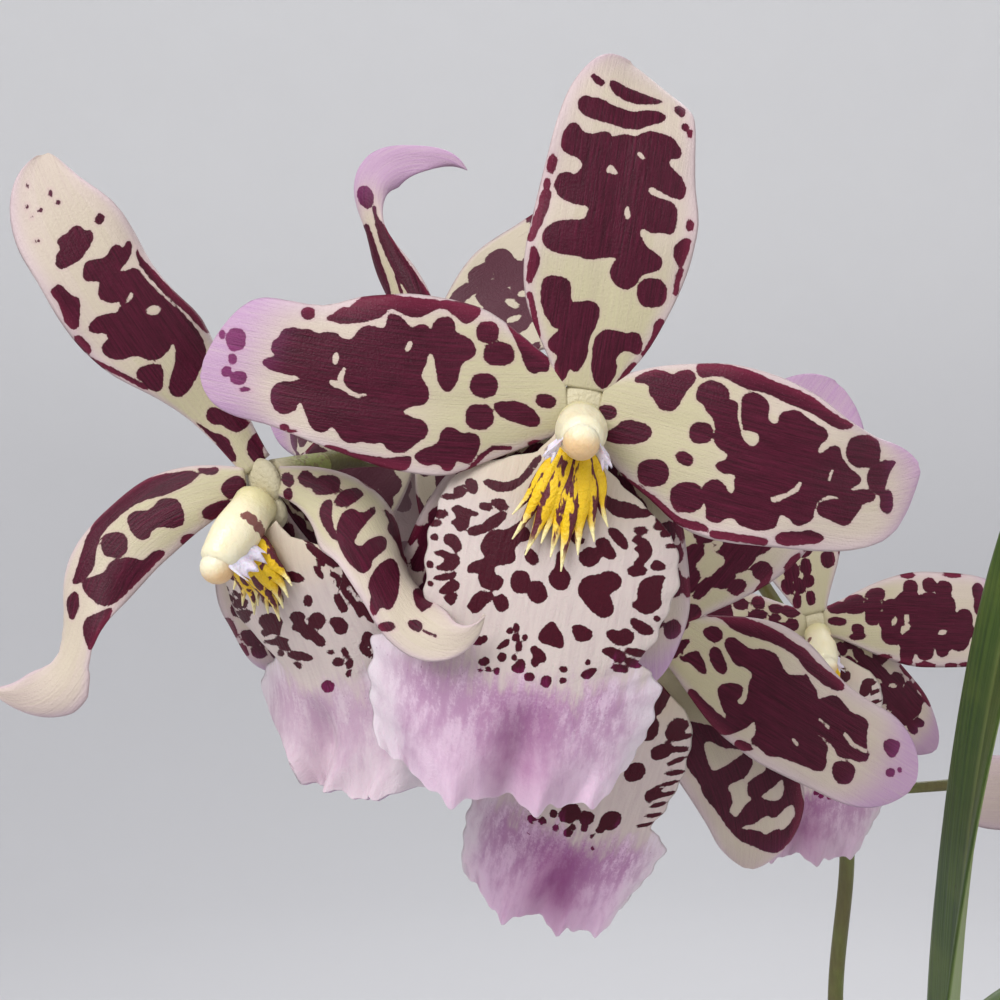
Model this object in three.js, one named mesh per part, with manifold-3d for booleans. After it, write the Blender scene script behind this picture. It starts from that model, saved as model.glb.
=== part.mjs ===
// A potted aliceara orchid: one arching spray of six marbled blooms on a clump of flattened
// pseudobulbs with strap leaves, in bark in a plain clay pot. Millimetres, +Z up.
// The origin is the middle of the pot's foot. The blooms look towards -Y.

import * as THREE from 'three';
import { mergeVertices } from 'three/addons/utils/BufferGeometryUtils.js';
import Module from 'manifold-3d';

const wasm = await Module();
wasm.setup();

// Driving dimensions
const CLEAR = 0.35;              // gap between pieces that touch
const TEPAL_THICK = 0.9;
const LIP_THICK = 0.8;
const LEAF_THICK = 1.4;
const BLOOM_LENGTH = 56;         // a petal from the middle of the bloom to its tip
const BLOOM_WIDTH = 27;
const LIP_LENGTH = 56;
const COLUMN_LENGTH = 16;
const POT_HEIGHT = 130;
const POT_RIM_RADIUS = 74;
const POT_FOOT_RADIUS = 52;
const POT_WALL = 6;
const POT_FLOOR = 7;
const RIM_HEIGHT = 24;
const RIM_STEP = 4;
const DRAIN_RADIUS = 5;
const DRAIN_RING = 26;
const BARK_TOP = 112;
const STALK_RADIUS = 1.5;

// Spray layout: the middle of each bloom, its turn about Z, its nod up and its clockwise roll
const BLOOM_PLACES = {
  a: { at: [-92.1, -235, 559.7], yaw: 0, pitch: 0, roll: 9, size: 1 },
  b: { at: [-143.6, -223, 547.9], yaw: -40, pitch: -13, roll: 0, size: 1 },
  c: { at: [-118, -190, 566.5], yaw: 160, pitch: 12, roll: 0, size: 1 },
  d: { at: [-76, -177, 520.7], yaw: 0, pitch: 0, roll: 32, size: 1 },
  f: { at: [-26.9, -79, 514.7], yaw: 0, pitch: 0, roll: -6, size: 0.88 },
  g: { at: [56, -85, 474], yaw: 0, pitch: 0, roll: 0, size: 0.92 },
};

// Small helpers on numbers and vectors
const vec = (x, y, z) => new THREE.Vector3(x, y, z);
const radians = THREE.MathUtils.degToRad;
const smooth = (from, to, x) => THREE.MathUtils.smoothstep(x, from, to);
const steps = (count) => Array.from({ length: count + 1 }, (_, i) => i / count);

// A value that is given at evenly spaced places along a piece, eased between them
function along(keys, s) {
  const list = Array.isArray(keys) ? keys : [keys];
  if (list.length === 1) {
    return list[0];
  }
  const x = THREE.MathUtils.clamp(s, 0, 1) * (list.length - 1);
  const i = Math.min(Math.floor(x), list.length - 2);
  return THREE.MathUtils.lerp(list[i], list[i + 1], x - i);
}

// A repeatable stream of numbers from 0 to 1
function seeded(seed) {
  let state = seed;
  return () => {
    state = (state * 1664525 + 1013904223) % 4294967296;
    return state / 4294967296;
  };
}

// Solids from meshes, and meshes from solids
function solidFrom(geometry) {
  const bare = geometry.clone();
  bare.deleteAttribute('normal');
  bare.deleteAttribute('uv');
  const merged = mergeVertices(bare, 1e-5);
  return new wasm.Manifold(new wasm.Mesh({
    numProp: 3,
    vertProperties: new Float32Array(merged.attributes.position.array),
    triVerts: new Uint32Array(merged.index.array),
  }));
}

// The faces are turned to point outwards where the rows ran the other way round
function solidFromFaces(points, faces) {
  let volume = 0;
  for (let k = 0; k < faces.length; k += 3) {
    volume += points[faces[k]].dot(points[faces[k + 1]].clone().cross(points[faces[k + 2]]));
  }
  const outward = volume > 0 ? faces : faces.slice().reverse();
  const geometry = new THREE.BufferGeometry();
  const numbers = points.flatMap((p) => p.toArray());
  geometry.setAttribute('position', new THREE.Float32BufferAttribute(numbers, 3));
  geometry.setIndex(outward);
  return solidFrom(geometry);
}

function moved(solid, matrix) {
  return solid.transform(matrix.elements);
}

// The largest body of a solid, so that no loose scrap of a cut is kept
function largest(solid) {
  const bodies = solid.decompose();
  return bodies.reduce((best, body) => (body.volume() > best.volume() ? body : best));
}

// A thin sheet between a front and a back grid of points, split alike on both faces
function sheet(front, back) {
  const rows = front.length;
  const columns = front[0].length;
  const points = [...front.flat(), ...back.flat()];
  const at = (side, i, j) => side * rows * columns + i * columns + j;
  const faces = [];
  const quad = (a, b, c, d) => faces.push(a, b, c, a, c, d);
  for (let i = 0; i < rows - 1; i += 1) {
    for (let j = 0; j < columns - 1; j += 1) {
      faces.push(at(0, i, j), at(0, i, j + 1), at(0, i + 1, j + 1));
      faces.push(at(0, i, j), at(0, i + 1, j + 1), at(0, i + 1, j));
      faces.push(at(1, i, j), at(1, i + 1, j + 1), at(1, i, j + 1));
      faces.push(at(1, i, j), at(1, i + 1, j), at(1, i + 1, j + 1));
    }
    quad(at(0, i, 0), at(0, i + 1, 0), at(1, i + 1, 0), at(1, i, 0));
    const last = columns - 1;
    quad(at(0, i, last), at(1, i, last), at(1, i + 1, last), at(0, i + 1, last));
  }
  for (let j = 0; j < columns - 1; j += 1) {
    quad(at(0, 0, j), at(1, 0, j), at(1, 0, j + 1), at(0, 0, j + 1));
    quad(at(0, rows - 1, j), at(0, rows - 1, j + 1), at(1, rows - 1, j + 1), at(1, rows - 1, j));
  }
  return solidFromFaces(points, faces);
}

// A closed body through a row of rings, with a pointed cap at each end
function loft(rings, first, last) {
  const sides = rings[0].length;
  const points = [...rings.flat(), first, last];
  const faces = [];
  for (let j = 0; j < sides; j += 1) {
    const k = (j + 1) % sides;
    for (let i = 0; i < rings.length - 1; i += 1) {
      const a = i * sides + j;
      const b = i * sides + k;
      faces.push(a, b, b + sides, a, b + sides, a + sides);
    }
    faces.push(rings.length * sides, k, j);
    const top = (rings.length - 1) * sides;
    faces.push(rings.length * sides + 1, top + j, top + k);
  }
  return solidFromFaces(points, faces);
}

// A round tube along a curve through the points, whose radius follows its keys
function tube(points, radii, sides, count, grow = 0) {
  const curve = new THREE.CatmullRomCurve3(points, false, 'centripetal');
  const frames = curve.computeFrenetFrames(count, false);
  const middle = steps(count).map((s) => curve.getPointAt(s));
  middle[0].addScaledVector(frames.tangents[0], -grow);
  middle[count].addScaledVector(frames.tangents[count], grow);
  const rings = middle.map((p, i) => {
    const radius = along(radii, i / count) + grow;
    return steps(sides).slice(0, sides).map((q) => p.clone()
      .addScaledVector(frames.normals[i], radius * Math.cos(q * 2 * Math.PI))
      .addScaledVector(frames.binormals[i], radius * Math.sin(q * 2 * Math.PI)));
  });
  const first = middle[0].clone().addScaledVector(frames.tangents[0], -0.05);
  const last = middle[count].clone().addScaledVector(frames.tangents[count], 0.05);
  return loft(rings, first, last);
}

function ball(centre, radii, width = 10, height = 7) {
  const geometry = new THREE.SphereGeometry(1, width, height);
  geometry.scale(...radii);
  geometry.translate(...centre);
  return solidFrom(geometry);
}

// The middle line of a blade in the bloom: it starts in the direction "at" (90 is up, 0 right, as
// seen from the front), leans forward by "lean", and both follow their keys along its length
function heading(spec, s) {
  const at = radians(along(spec.at, s));
  const lean = radians(along(spec.lean, s));
  return vec(Math.cos(lean) * Math.cos(at), -Math.sin(lean), Math.cos(lean) * Math.sin(at));
}

// A direction turned towards another one that stands square to it
function turned(one, other, angle) {
  return one.clone().multiplyScalar(Math.cos(angle)).addScaledVector(other, Math.sin(angle));
}

function bladeLine(spec, start, from = 0) {
  const count = 60;
  const line = [vec(0, 0, 0)];
  for (let i = 1; i <= count; i += 1) {
    const middle = from + (1 - from) * ((i - 0.5) / count);
    const stride = (spec.long * (1 - from)) / count;
    line.push(line[i - 1].clone().addScaledVector(heading(spec, middle), stride));
  }
  const place = (s) => {
    const x = THREE.MathUtils.clamp((s - from) / (1 - from), 0, 1) * count;
    const i = Math.min(Math.floor(x), count - 1);
    return line[i].clone().lerp(line[i + 1], x - i);
  };
  const shift = start.clone().sub(place(0));
  return (s) => {
    const at = radians(along(spec.at, s));
    const ahead = heading(spec, s);
    const side = vec(-Math.sin(at), 0, Math.cos(at));
    const front = ahead.clone().cross(side);
    const twist = radians(along(spec.twist, s));
    return {
      point: place(s).add(shift),
      side: turned(side, front, twist),
      front: turned(front, side, -twist),
    };
  };
}

// A point across a blade: its half width bent into an arc by "cup" degrees at the edge
function across(place, half, cup, v) {
  const bend = Math.abs(cup) < 0.1 ? radians(0.1) : radians(cup);
  const reach = (half * Math.sin(bend * v)) / bend;
  const rise = (half * (1 - Math.cos(bend * v))) / bend;
  return { reach, rise };
}

// Sepals and petals
const TEPAL = {
  at: 90, lean: [10, 6, -4, -22], twist: 0, long: BLOOM_LENGTH, wide: BLOOM_WIDTH, neck: 0.3,
  full: 0.5, blunt: 3.2, point: 0.5, cup: -12, wave: 0.6, waves: 3, rows: 6, columns: 4,
};
const TEPAL_ROOT = 2.6;
const TEPAL_END = 0.99;

function tepalHalf(spec, s) {
  if (s < spec.full) {
    return (spec.wide / 2) * (spec.neck + (1 - spec.neck) * Math.sin((Math.PI / 2) * (s / spec.full)) ** 1.3);
  }
  const past = Math.min((s - spec.full) / (1 - spec.full), 0.995);
  return (spec.wide / 2) * (1 - past ** spec.blunt) ** spec.point;
}

function tepal(given, grow = 0) {
  const spec = { ...TEPAL, ...given };
  const line = bladeLine(spec, heading(spec, 0).multiplyScalar(TEPAL_ROOT));
  const front = [];
  const back = [];
  for (const t of steps(spec.rows)) {
    const s = t * TEPAL_END;
    const place = line(s + (t === 1 ? grow / spec.long : 0));
    const half = tepalHalf(spec, s) + grow;
    const frontRow = [];
    const backRow = [];
    for (const q of steps(spec.columns)) {
      const v = 2 * q - 1;
      const { reach, rise } = across(place, half, along(spec.cup, s), v);
      const ripple = spec.wave * Math.abs(v) ** 3 * smooth(0.1, 0.4, s)
        * Math.sin(2 * Math.PI * spec.waves * s + 1.3 * Math.sign(v));
      const middle = place.point.clone().addScaledVector(place.side, reach)
        .addScaledVector(place.front, rise + ripple);
      frontRow.push(middle.clone().addScaledVector(place.front, TEPAL_THICK / 2 + grow));
      backRow.push(middle.clone().addScaledVector(place.front, -TEPAL_THICK / 2 - grow));
    }
    front.push(frontRow);
    back.push(backRow);
  }
  return sheet(front, back);
}

// The lip: a broad rounded upper part, a waist, and a wide ruffled blade with a groove down it
const LIP = {
  at: -90, lean: [8, 0, -12, -22], twist: 0, long: LIP_LENGTH, broad: 1, skew: 0,
};
const LIP_ROOT = vec(0, -2.5, -8.5);
const LIP_START = -0.15;
const LIP_HALF_WIDTHS = [
  [0, 4], [0.04, 8.5], [0.1, 14.5], [0.2, 19.2], [0.36, 20.2], [0.5, 19], [0.6, 17],
  [0.635, 21], [0.68, 24.5], [0.8, 24.5], [0.9, 23.6], [1, 22],
];

function lipHalf(spec, s, v) {
  const above = Math.max(1, LIP_HALF_WIDTHS.findIndex(([place]) => place >= s));
  const [s0, w0] = LIP_HALF_WIDTHS[above - 1];
  const [s1, w1] = LIP_HALF_WIDTHS[above];
  const between = smooth(s0, s1, s) * 0.5 + ((s - s0) / (s1 - s0)) * 0.5;
  const half = spec.broad * THREE.MathUtils.lerp(w0, w1, between);
  return half * (1 - spec.skew * Math.sign(v) * smooth(0.55, 0.7, s));
}

// A point of the lip's middle surface, with its front direction
function lipPoint(spec, line, s, v) {
  const sweep = 0.06 + 0.04 * smooth(0.1, 1, s);
  const place = line(s - sweep * Math.abs(v) ** (2.4 + 1.2 * smooth(0.6, 1, s)));
  const half = lipHalf(spec, s, v);
  const cup = -(22 + 16 * smooth(0.55, 0.75, s));
  const { reach, rise } = across(place, half, cup, v);
  const groove = -4 * Math.exp(-(((v * half) / 3.2) ** 2)) * smooth(0.62, 0.85, s);
  const ruffle = 1.4 * Math.abs(v) ** 4 * Math.sin(16 * s + 2) * smooth(0.58, 0.7, s)
    + 1.8 * smooth(0.82, 1, s) * Math.sin(11 * v);
  const point = place.point.clone().addScaledVector(place.side, reach)
    .addScaledVector(place.front, rise + groove + ruffle);
  return { point, front: place.front };
}

const LIP_ROWS = [0, 0.07, 0.18, 0.34, 0.5, 0.6, 0.67, 0.83, 1];
const LIP_COLUMNS = [-1, -0.7, -0.35, 0, 0.35, 0.7, 1];

function lip(given) {
  const spec = { ...LIP, ...given };
  const line = bladeLine(spec, LIP_ROOT, LIP_START);
  const rows = (offset) => LIP_ROWS.map((s) => LIP_COLUMNS.map((v) => {
    const { point, front } = lipPoint(spec, line, s, v);
    return point.addScaledVector(front, offset);
  }));
  return sheet(rows(LIP_THICK / 2), rows(-LIP_THICK / 2));
}

// The crest: yellow fingers that fan out from the lip's root just above its surface
const CREST_FINGERS = [
  { end: 0.22, across: -7.6 }, { end: 0.3, across: -3.4 }, { end: 0.31, across: 0.4 },
  { end: 0.29, across: 4 }, { end: 0.21, across: 7.4 },
];
const CREST_LIFT = 1.9;
const CREST_START = 0.015;

function crest(given) {
  const spec = { ...LIP, ...given };
  const line = bladeLine(spec, LIP_ROOT, LIP_START);
  const above = (s, a, lift) => {
    const { point, front } = lipPoint(spec, line, s, a / Math.max(lipHalf(spec, s, 0), 4));
    return point.addScaledVector(front, lift);
  };
  const fingers = CREST_FINGERS.map(({ end, across: spread }) => tube([
    above(CREST_START, spread * 0.12, CREST_LIFT + 0.4),
    above(end * 0.5, spread * 0.5, CREST_LIFT + 0.9),
    above(end * 0.85, spread * 0.86, CREST_LIFT),
    above(end, spread, CREST_LIFT + 0.9),
  ], [1.8, 1.5, 0.7], 3, 2));
  return wasm.Manifold.union(fingers);
}

// The column: a hooded rod that leans forward over the lip, with an anther cap and two toothed wings
const COLUMN_BASE = vec(0, -2.6, -2.2);
const COLUMN_DROP = 35;
const COLUMN_RADII = [3.2, 3.5, 3.9, 4.1, 3.8, 2.9, 3.1, 1.4];
const WING_TEETH = [2.4, 5.8, 3.4, 5.6];

function columnPoint(drop, s) {
  const reach = s * COLUMN_LENGTH;
  return COLUMN_BASE.clone().add(vec(0, -reach * Math.cos(drop), -reach * Math.sin(drop)));
}

function wing(drop, hand) {
  const forward = vec(0, -Math.cos(drop), -Math.sin(drop));
  const down = vec(hand * 0.45, Math.sin(drop) * 0.89, -Math.cos(drop) * 0.89);
  const root = columnPoint(drop, 0.62).add(vec(hand * 2.4, 0, 0));
  const inner = WING_TEETH.map((_, i) => root.clone().addScaledVector(forward, i * 1.6 - 2.4));
  const outer = inner.map((p, i) => p.clone().addScaledVector(down, WING_TEETH[i] + 1.5));
  const outward = vec(hand, 0, 0).multiplyScalar(0.35);
  const lift = (row, sign) => row.map((p) => p.clone().addScaledVector(outward, sign));
  const rows = [inner, outer];
  const near = rows.map((row) => lift(row, hand));
  const far = rows.map((row) => lift(row, -hand));
  return sheet(far, near);
}

function column(degrees, grow = 0) {
  const drop = radians(degrees);
  const rod = tube(steps(4).map((s) => columnPoint(drop, s)), COLUMN_RADII, 7, 6, grow);
  return wasm.Manifold.union([rod, wing(drop, 1), wing(drop, -1)]);
}

// The five tepals of a bloom stand on a small boss, with a foot that carries the lip, and the
// seed vessel behind it
const BOSS_RADIUS = 4.2;
const OVARY_LENGTH = 14;
const LATERAL_SEPAL = {
  lean: [-8, -12, -20, -30], full: 0.45, blunt: 2.4, long: 54, wide: 20, columns: 3,
};
const TEPAL_SET = [
  { name: 'dorsal', at: 90, lean: [12, 6, -5, -60], full: 0.46, blunt: 3, cup: [-10, -12, 8], long: 57 },
  { name: 'left_petal', at: 180, blunt: 3.4 },
  { name: 'right_petal', at: 0, blunt: 3.4 },
  { name: 'left_sepal', at: 232, ...LATERAL_SEPAL },
  { name: 'right_sepal', at: 308, ...LATERAL_SEPAL },
];

// What sets each bloom's pieces apart. An upright piece is laid out in the part's own axes.
const BLOOM_FORMS = {
  a: {
    dorsal: { twist: [0, 0, 5, 25], wide: 26.5, full: 0.42, blunt: 2.4 },
    left_petal: { at: [193, 186, 178, 175], long: 58, twist: [0, 0, -8] },
    right_petal: { at: [-4, -8, -5, -2], lean: [12, 8, 0, -25, -35], long: 55, blunt: 2.4 },
    left_sepal: { at: [236, 246, 258], lean: [-10, -25, -40], long: 50 },
    right_sepal: { at: [300, 290, 282], lean: [-10, -25, -40], long: 50 },
    lip: { at: [-94, -92, -87, -84], skew: 0.14 },
    columnDrop: 24,
  },
  b: {
    dorsal: {
      upright: true, at: [130, 127, 123, 118, 114], lean: [0, 12, 10, 0, -20],
      twist: [-10, 10, 10, 0], long: 61, wide: 22, full: 0.62, blunt: 2.4,
      cup: [-30, -40, -20, 20], neck: 0.35,
    },
    left_petal: {
      upright: true, at: [186, 198, 220, 243, 264, 235, 190], lean: [0, 5, 0],
      twist: [-10, 30, 45, 50, 60, 20, -30], long: 56, wide: 21, full: 0.45, blunt: 1.6,
      point: 0.8, cup: [-20, -50, -50, -20], rows: 8,
    },
    right_petal: {
      upright: true, at: [-8, -28, -55, -80, -66, -5, 50], lean: [25, 30, 28, 22, 15, 10],
      twist: [0, -20, -45, -40, -10, 20], long: 50, wide: 19, full: 0.45, blunt: 1.8,
      point: 0.8, cup: [-20, -50, -40, -10], rows: 8,
    },
    left_sepal: { upright: true, at: [266, 278, 282], lean: [-30, -45, -50], long: 46 },
    right_sepal: { upright: true, at: [304, 304, 310], lean: [-30, -45, -50], long: 46 },
    lip: { at: -95, lean: [-4, -14, -20, -20], long: 53 },
  },
  c: {
    dorsal: {
      upright: true, at: [98, 102, 112, 122, 130, 90, 35, 0, -40], lean: [0, -10, -10, 0, 0],
      twist: [-60, -60, -65, -60, -10, 10], long: 54, wide: 20, full: 0.45, blunt: 1.5,
      point: 0.9, cup: [-30, -30, -10], rows: 8,
    },
    left_petal: {
      upright: true, at: [54, 33, 28, 27], lean: [-5, -10, -20], twist: 160, long: 52, wide: 26,
    },
    right_petal: {
      upright: true, at: [176, 184, 194], lean: [-30, -50, -60], twist: 180, long: 48,
    },
    left_sepal: { upright: true, at: 290, lean: [0, -5, -15], twist: 180, long: 48 },
    right_sepal: { upright: true, at: 232, lean: [0, -10, -20], twist: 180, long: 48 },
  },
  d: {
    dorsal: { at: 84, lean: [12, 6, -5, -30] },
    left_petal: { lean: [-5, -25, -40] },
    right_petal: { wide: 24 },
    right_sepal: { at: 326, wide: 22 },
    lip: { at: [-79, -74, -70], long: 56, broad: 0.86 },
  },
  f: {
    dorsal: { at: 97 },
    lip: { at: -100, long: 62 },
  },
  g: {
    left_petal: { wide: 23, twist: [0, 10, 20] },
  },
};

function bloomMatrix({ at, yaw, pitch, roll, size }) {
  return new THREE.Matrix4().makeTranslation(...at)
    .multiply(new THREE.Matrix4().makeRotationZ(radians(yaw)))
    .multiply(new THREE.Matrix4().makeRotationX(radians(-pitch)))
    .multiply(new THREE.Matrix4().makeRotationY(radians(roll)))
    .multiply(new THREE.Matrix4().makeScale(size, size, size));
}

function tepalRing(form, place, grow = 0) {
  const turn = new THREE.Matrix4().extractRotation(bloomMatrix(place));
  const upright = turn.clone().invert();
  const blades = TEPAL_SET.map(({ name, ...usual }) => {
    const spec = { ...usual, ...form[name] };
    const blade = tepal(spec, grow);
    return spec.upright ? moved(blade, upright) : blade;
  });
  const boss = ball([0, 2, 0], Array(3).fill(BOSS_RADIUS + grow), 7, 4);
  const foot = ball([0, -0.5, -5.2], [3.6 + grow, 3 + grow, 3.4 + grow], 6, 4);
  const ovary = tube([vec(0, 3, 0), vec(0, OVARY_LENGTH, 0)], [3.2, 2], 6, 1, grow);
  return wasm.Manifold.union([boss, foot, ovary, ...blades]);
}

function bloomPieces(name) {
  const place = BLOOM_PLACES[name];
  const form = BLOOM_FORMS[name];
  const matrix = bloomMatrix(place);
  const ring = tepalRing(form, place);
  const ringRoom = tepalRing(form, place, CLEAR);
  const drop = form.columnDrop ?? COLUMN_DROP;
  const rod = largest(column(drop).subtract(ringRoom));
  const rodRoom = column(drop, CLEAR);
  const lipBody = largest(lip(form.lip).subtract(ringRoom).subtract(rodRoom));
  const crestBody = largest(crest(form.lip).subtract(ringRoom).subtract(rodRoom));
  return {
    sepals_petals: moved(ring, matrix),
    lip: moved(lipBody, matrix),
    crest: moved(crestBody, matrix),
    column: moved(rod, matrix),
  };
}

// The flower stem, rising from the foot of the lead bulb and arching forward, with its stalks
const STEM_LINE = [
  vec(0, -12, 102), vec(0, -13, 150), vec(-3, -17, 245), vec(-10, -32, 345), vec(-15, -45, 411),
  vec(-14, -55, 457), vec(-20, -56, 495), vec(-36, -54, 523), vec(-52, -70, 543), vec(-61, -95, 550),
  vec(-69, -130, 551), vec(-77, -170, 549), vec(-97, -197, 552), vec(-124, -203, 555),
];
const STEM_RADII = [2.6, 2.6, 2.5, 2.4, 2.3, 2.2, 2.1, 2, 1.9, 1.8, 1.7, 1.6, 1.4, 1.1];
const STALKS = {
  a: { from: 0.9, bend: 14 },
  b: { from: 0.955, bend: 7 },
  c: { from: 0.935, bend: 6 },
  d: { from: 0.86, bend: 12 },
  f: { from: 0.66, bend: 10 },
  g: { from: 0.59, bend: 18 },
};
const BRACT_PLACES = [0.14, 0.33, 0.6, 0.87];

const stemCurve = new THREE.CatmullRomCurve3(STEM_LINE, false, 'centripetal');

function ovaryEnd(name, beyond) {
  return vec(0, OVARY_LENGTH + beyond, 0).applyMatrix4(bloomMatrix(BLOOM_PLACES[name]));
}

function stalk(name, grow = 0) {
  const { from, bend } = STALKS[name];
  const start = stemCurve.getPointAt(from);
  const near = ovaryEnd(name, 4);
  const far = ovaryEnd(name, bend);
  const curve = new THREE.CubicBezierCurve3(start, start.clone().lerp(far, 0.5), far, near);
  const points = [...curve.getPoints(5), ovaryEnd(name, CLEAR + 0.1)];
  return tube(points, [1.3, STALK_RADIUS, STALK_RADIUS, 1.9], 5, 5, grow);
}

// A small pointed bract that clasps the stem below a stalk
function bract(s) {
  const point = stemCurve.getPointAt(s);
  const ahead = stemCurve.getTangentAt(s);
  const side = ahead.clone().cross(vec(0.3, 1, 0.2)).normalize();
  const out = side.clone().cross(ahead).normalize();
  const rows = (offset) => steps(2).map((t) => [-1, 0, 1].map((v) => point.clone()
    .addScaledVector(ahead, t * 11 - 1)
    .addScaledVector(side, v * 3 * (1 - t ** 2) + v * 0.3)
    .addScaledVector(out, 1.6 + 2.2 * t - 1.2 * v * v * (1 - t) + offset)));
  return sheet(rows(0.35), rows(-0.35));
}

function flowerStem(grow = 0) {
  const main = tube(STEM_LINE, STEM_RADII, 6, 22, grow);
  const stalks = Object.keys(STALKS).map((name) => stalk(name, grow));
  const bracts = grow > 0 ? [] : BRACT_PLACES.map(bract);
  return wasm.Manifold.union([main, ...stalks, ...bracts]);
}

function tipBud() {
  const tip = STEM_LINE[STEM_LINE.length - 1];
  const ahead = stemCurve.getTangentAt(1);
  const step = (d) => tip.clone().addScaledVector(ahead, d);
  return tube([step(CLEAR + 0.3), step(3), step(7), step(10)], [1.2, 3, 2.6, 0.7], 7, 5);
}

// Flattened pseudobulbs, wide along X, with their feet sunk in the bark
const BULBS = {
  bulb_lead: { at: [24, -30], wide: 42, deep: 23, top: 205 },
  bulb_second: { at: [0, 9], wide: 42, deep: 22, top: 198 },
  bulb_back: { at: [-37, 26], wide: 33, deep: 18, top: 168 },
};
const BULB_FOOT = 100;
const BULB_PROFILE = [[0, 0.55], [0.12, 0.82], [0.3, 1], [0.5, 0.96], [0.7, 0.76], [0.87, 0.48], [1, 0.2]];

function bulbPoint({ at, wide, deep, top }, s, turn, grow) {
  const index = Math.max(1, BULB_PROFILE.findIndex(([place]) => place >= s));
  const [s0, r0] = BULB_PROFILE[index - 1];
  const [s1, r1] = BULB_PROFILE[index];
  const r = THREE.MathUtils.lerp(r0, r1, (s - s0) / (s1 - s0));
  return vec(
    at[0] + ((wide / 2) * r + grow) * Math.cos(turn),
    at[1] + ((deep / 2) * r + grow) * Math.sin(turn),
    THREE.MathUtils.lerp(BULB_FOOT - grow, top + grow, s),
  );
}

function bulb(spec, grow = 0) {
  const sides = 12;
  const rings = BULB_PROFILE.map(([s]) => steps(sides).slice(0, sides)
    .map((q) => bulbPoint(spec, s, q * 2 * Math.PI, grow)));
  const foot = vec(...spec.at, BULB_FOOT - 0.5 - 2 * grow);
  const crown = vec(...spec.at, spec.top + 0.5 + 2 * grow);
  return loft(rings, foot, crown);
}

// A dry papery sheath wrapped round one edge of a bulb's foot
const SHEATH_GAP = 1.25;
const SHEATH_FOOT = 113.5;
const SHEATHS = {
  sheath_lead: { bulb: 'bulb_lead', middle: 0, spread: 100, rise: 0.62 },
  sheath_second: { bulb: 'bulb_second', middle: 180, spread: 105, rise: 0.55 },
  sheath_back: { bulb: 'bulb_back', middle: 180, spread: 110, rise: 0.7 },
};

function sheath({ bulb: name, middle, spread, rise }, grow = 0) {
  const reach = spread + 8 * grow;
  const bulbSpec = BULBS[name];
  const foot = (SHEATH_FOOT - grow - BULB_FOOT) / (bulbSpec.top - BULB_FOOT);
  const rows = (offset) => steps(3).map((t) => steps(8).map((q) => {
    const v = 2 * q - 1;
    const s = foot + t * rise * (1 - 0.55 * Math.abs(v) ** 1.5);
    const flare = 1.5 * t ** 3;
    return bulbPoint(bulbSpec, s, radians(middle + reach * v * (1 - 0.35 * t)), SHEATH_GAP + flare + offset);
  }));
  return sheet(rows(0.4 + grow), rows(-0.3 - grow));
}

// Strap leaves: "turn" is the compass direction that the leaf leans to, "rise" its slope, both along
// its length, and "roll" turns its face about its own length
const LEAF = { wide: 38, fold: 30, roll: 0, neck: 0.4 };
const LEAVES = {
  leaf_lead_tall: {
    from: [21, -30, 206], turn: [249, 254, 266, 300],
    rise: [69, 70, 70, 68], roll: 86, fold: 19, long: 395, wide: 34,
  },
  leaf_lead_right: {
    from: [27.4, -30, 205.6], turn: [0, -8, -14],
    rise: [72, 50, 20, -12, -40], long: 330,
  },
  leaf_lead_outer: {
    from: [47.5, -28, 108], turn: [-10, -20, -24],
    rise: [88, 70, 40, 4, -32], long: 290,
  },
  leaf_lead_inner: {
    from: [0.5, -34, 108], turn: [215, 222, 226],
    rise: [86, 66, 40, 10, -24], long: 270, wide: 30,
  },
  leaf_second_left: {
    from: [-3.5, 9, 199], turn: [176, 168, 160],
    rise: [74, 54, 30, 2, -30], long: 340,
  },
  leaf_second_right: {
    from: [3.5, 9, 199], turn: [60, 48, 40],
    rise: [78, 62, 38, 6, -25], long: 320,
  },
  leaf_second_outer: {
    from: [-23.5, 6, 108], turn: [188, 196, 200],
    rise: [84, 66, 42, 10, -28], long: 300, wide: 32,
  },
  leaf_new_tall: {
    from: [41, 8, 108], turn: [80, 62, 50],
    rise: [80, 66, 40, 14], long: 210, wide: 26,
  },
  leaf_new_right: {
    from: [48, 12, 108], turn: [10, 16, 20],
    rise: [72, 50, 24], long: 140, wide: 22,
  },
  leaf_new_left: {
    from: [37, 16, 108], turn: [110, 124, 132],
    rise: [76, 58, 36], long: 120, wide: 20,
  },
};

function leafHalf(spec, s) {
  const narrow = spec.neck + (1 - spec.neck) * smooth(0, 0.4, s);
  const taper = (1 - Math.max(0, (s - 0.35) / 0.65) ** 2.4) ** 0.75;
  return (spec.wide / 2) * narrow * Math.max(taper, 0.04);
}

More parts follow.
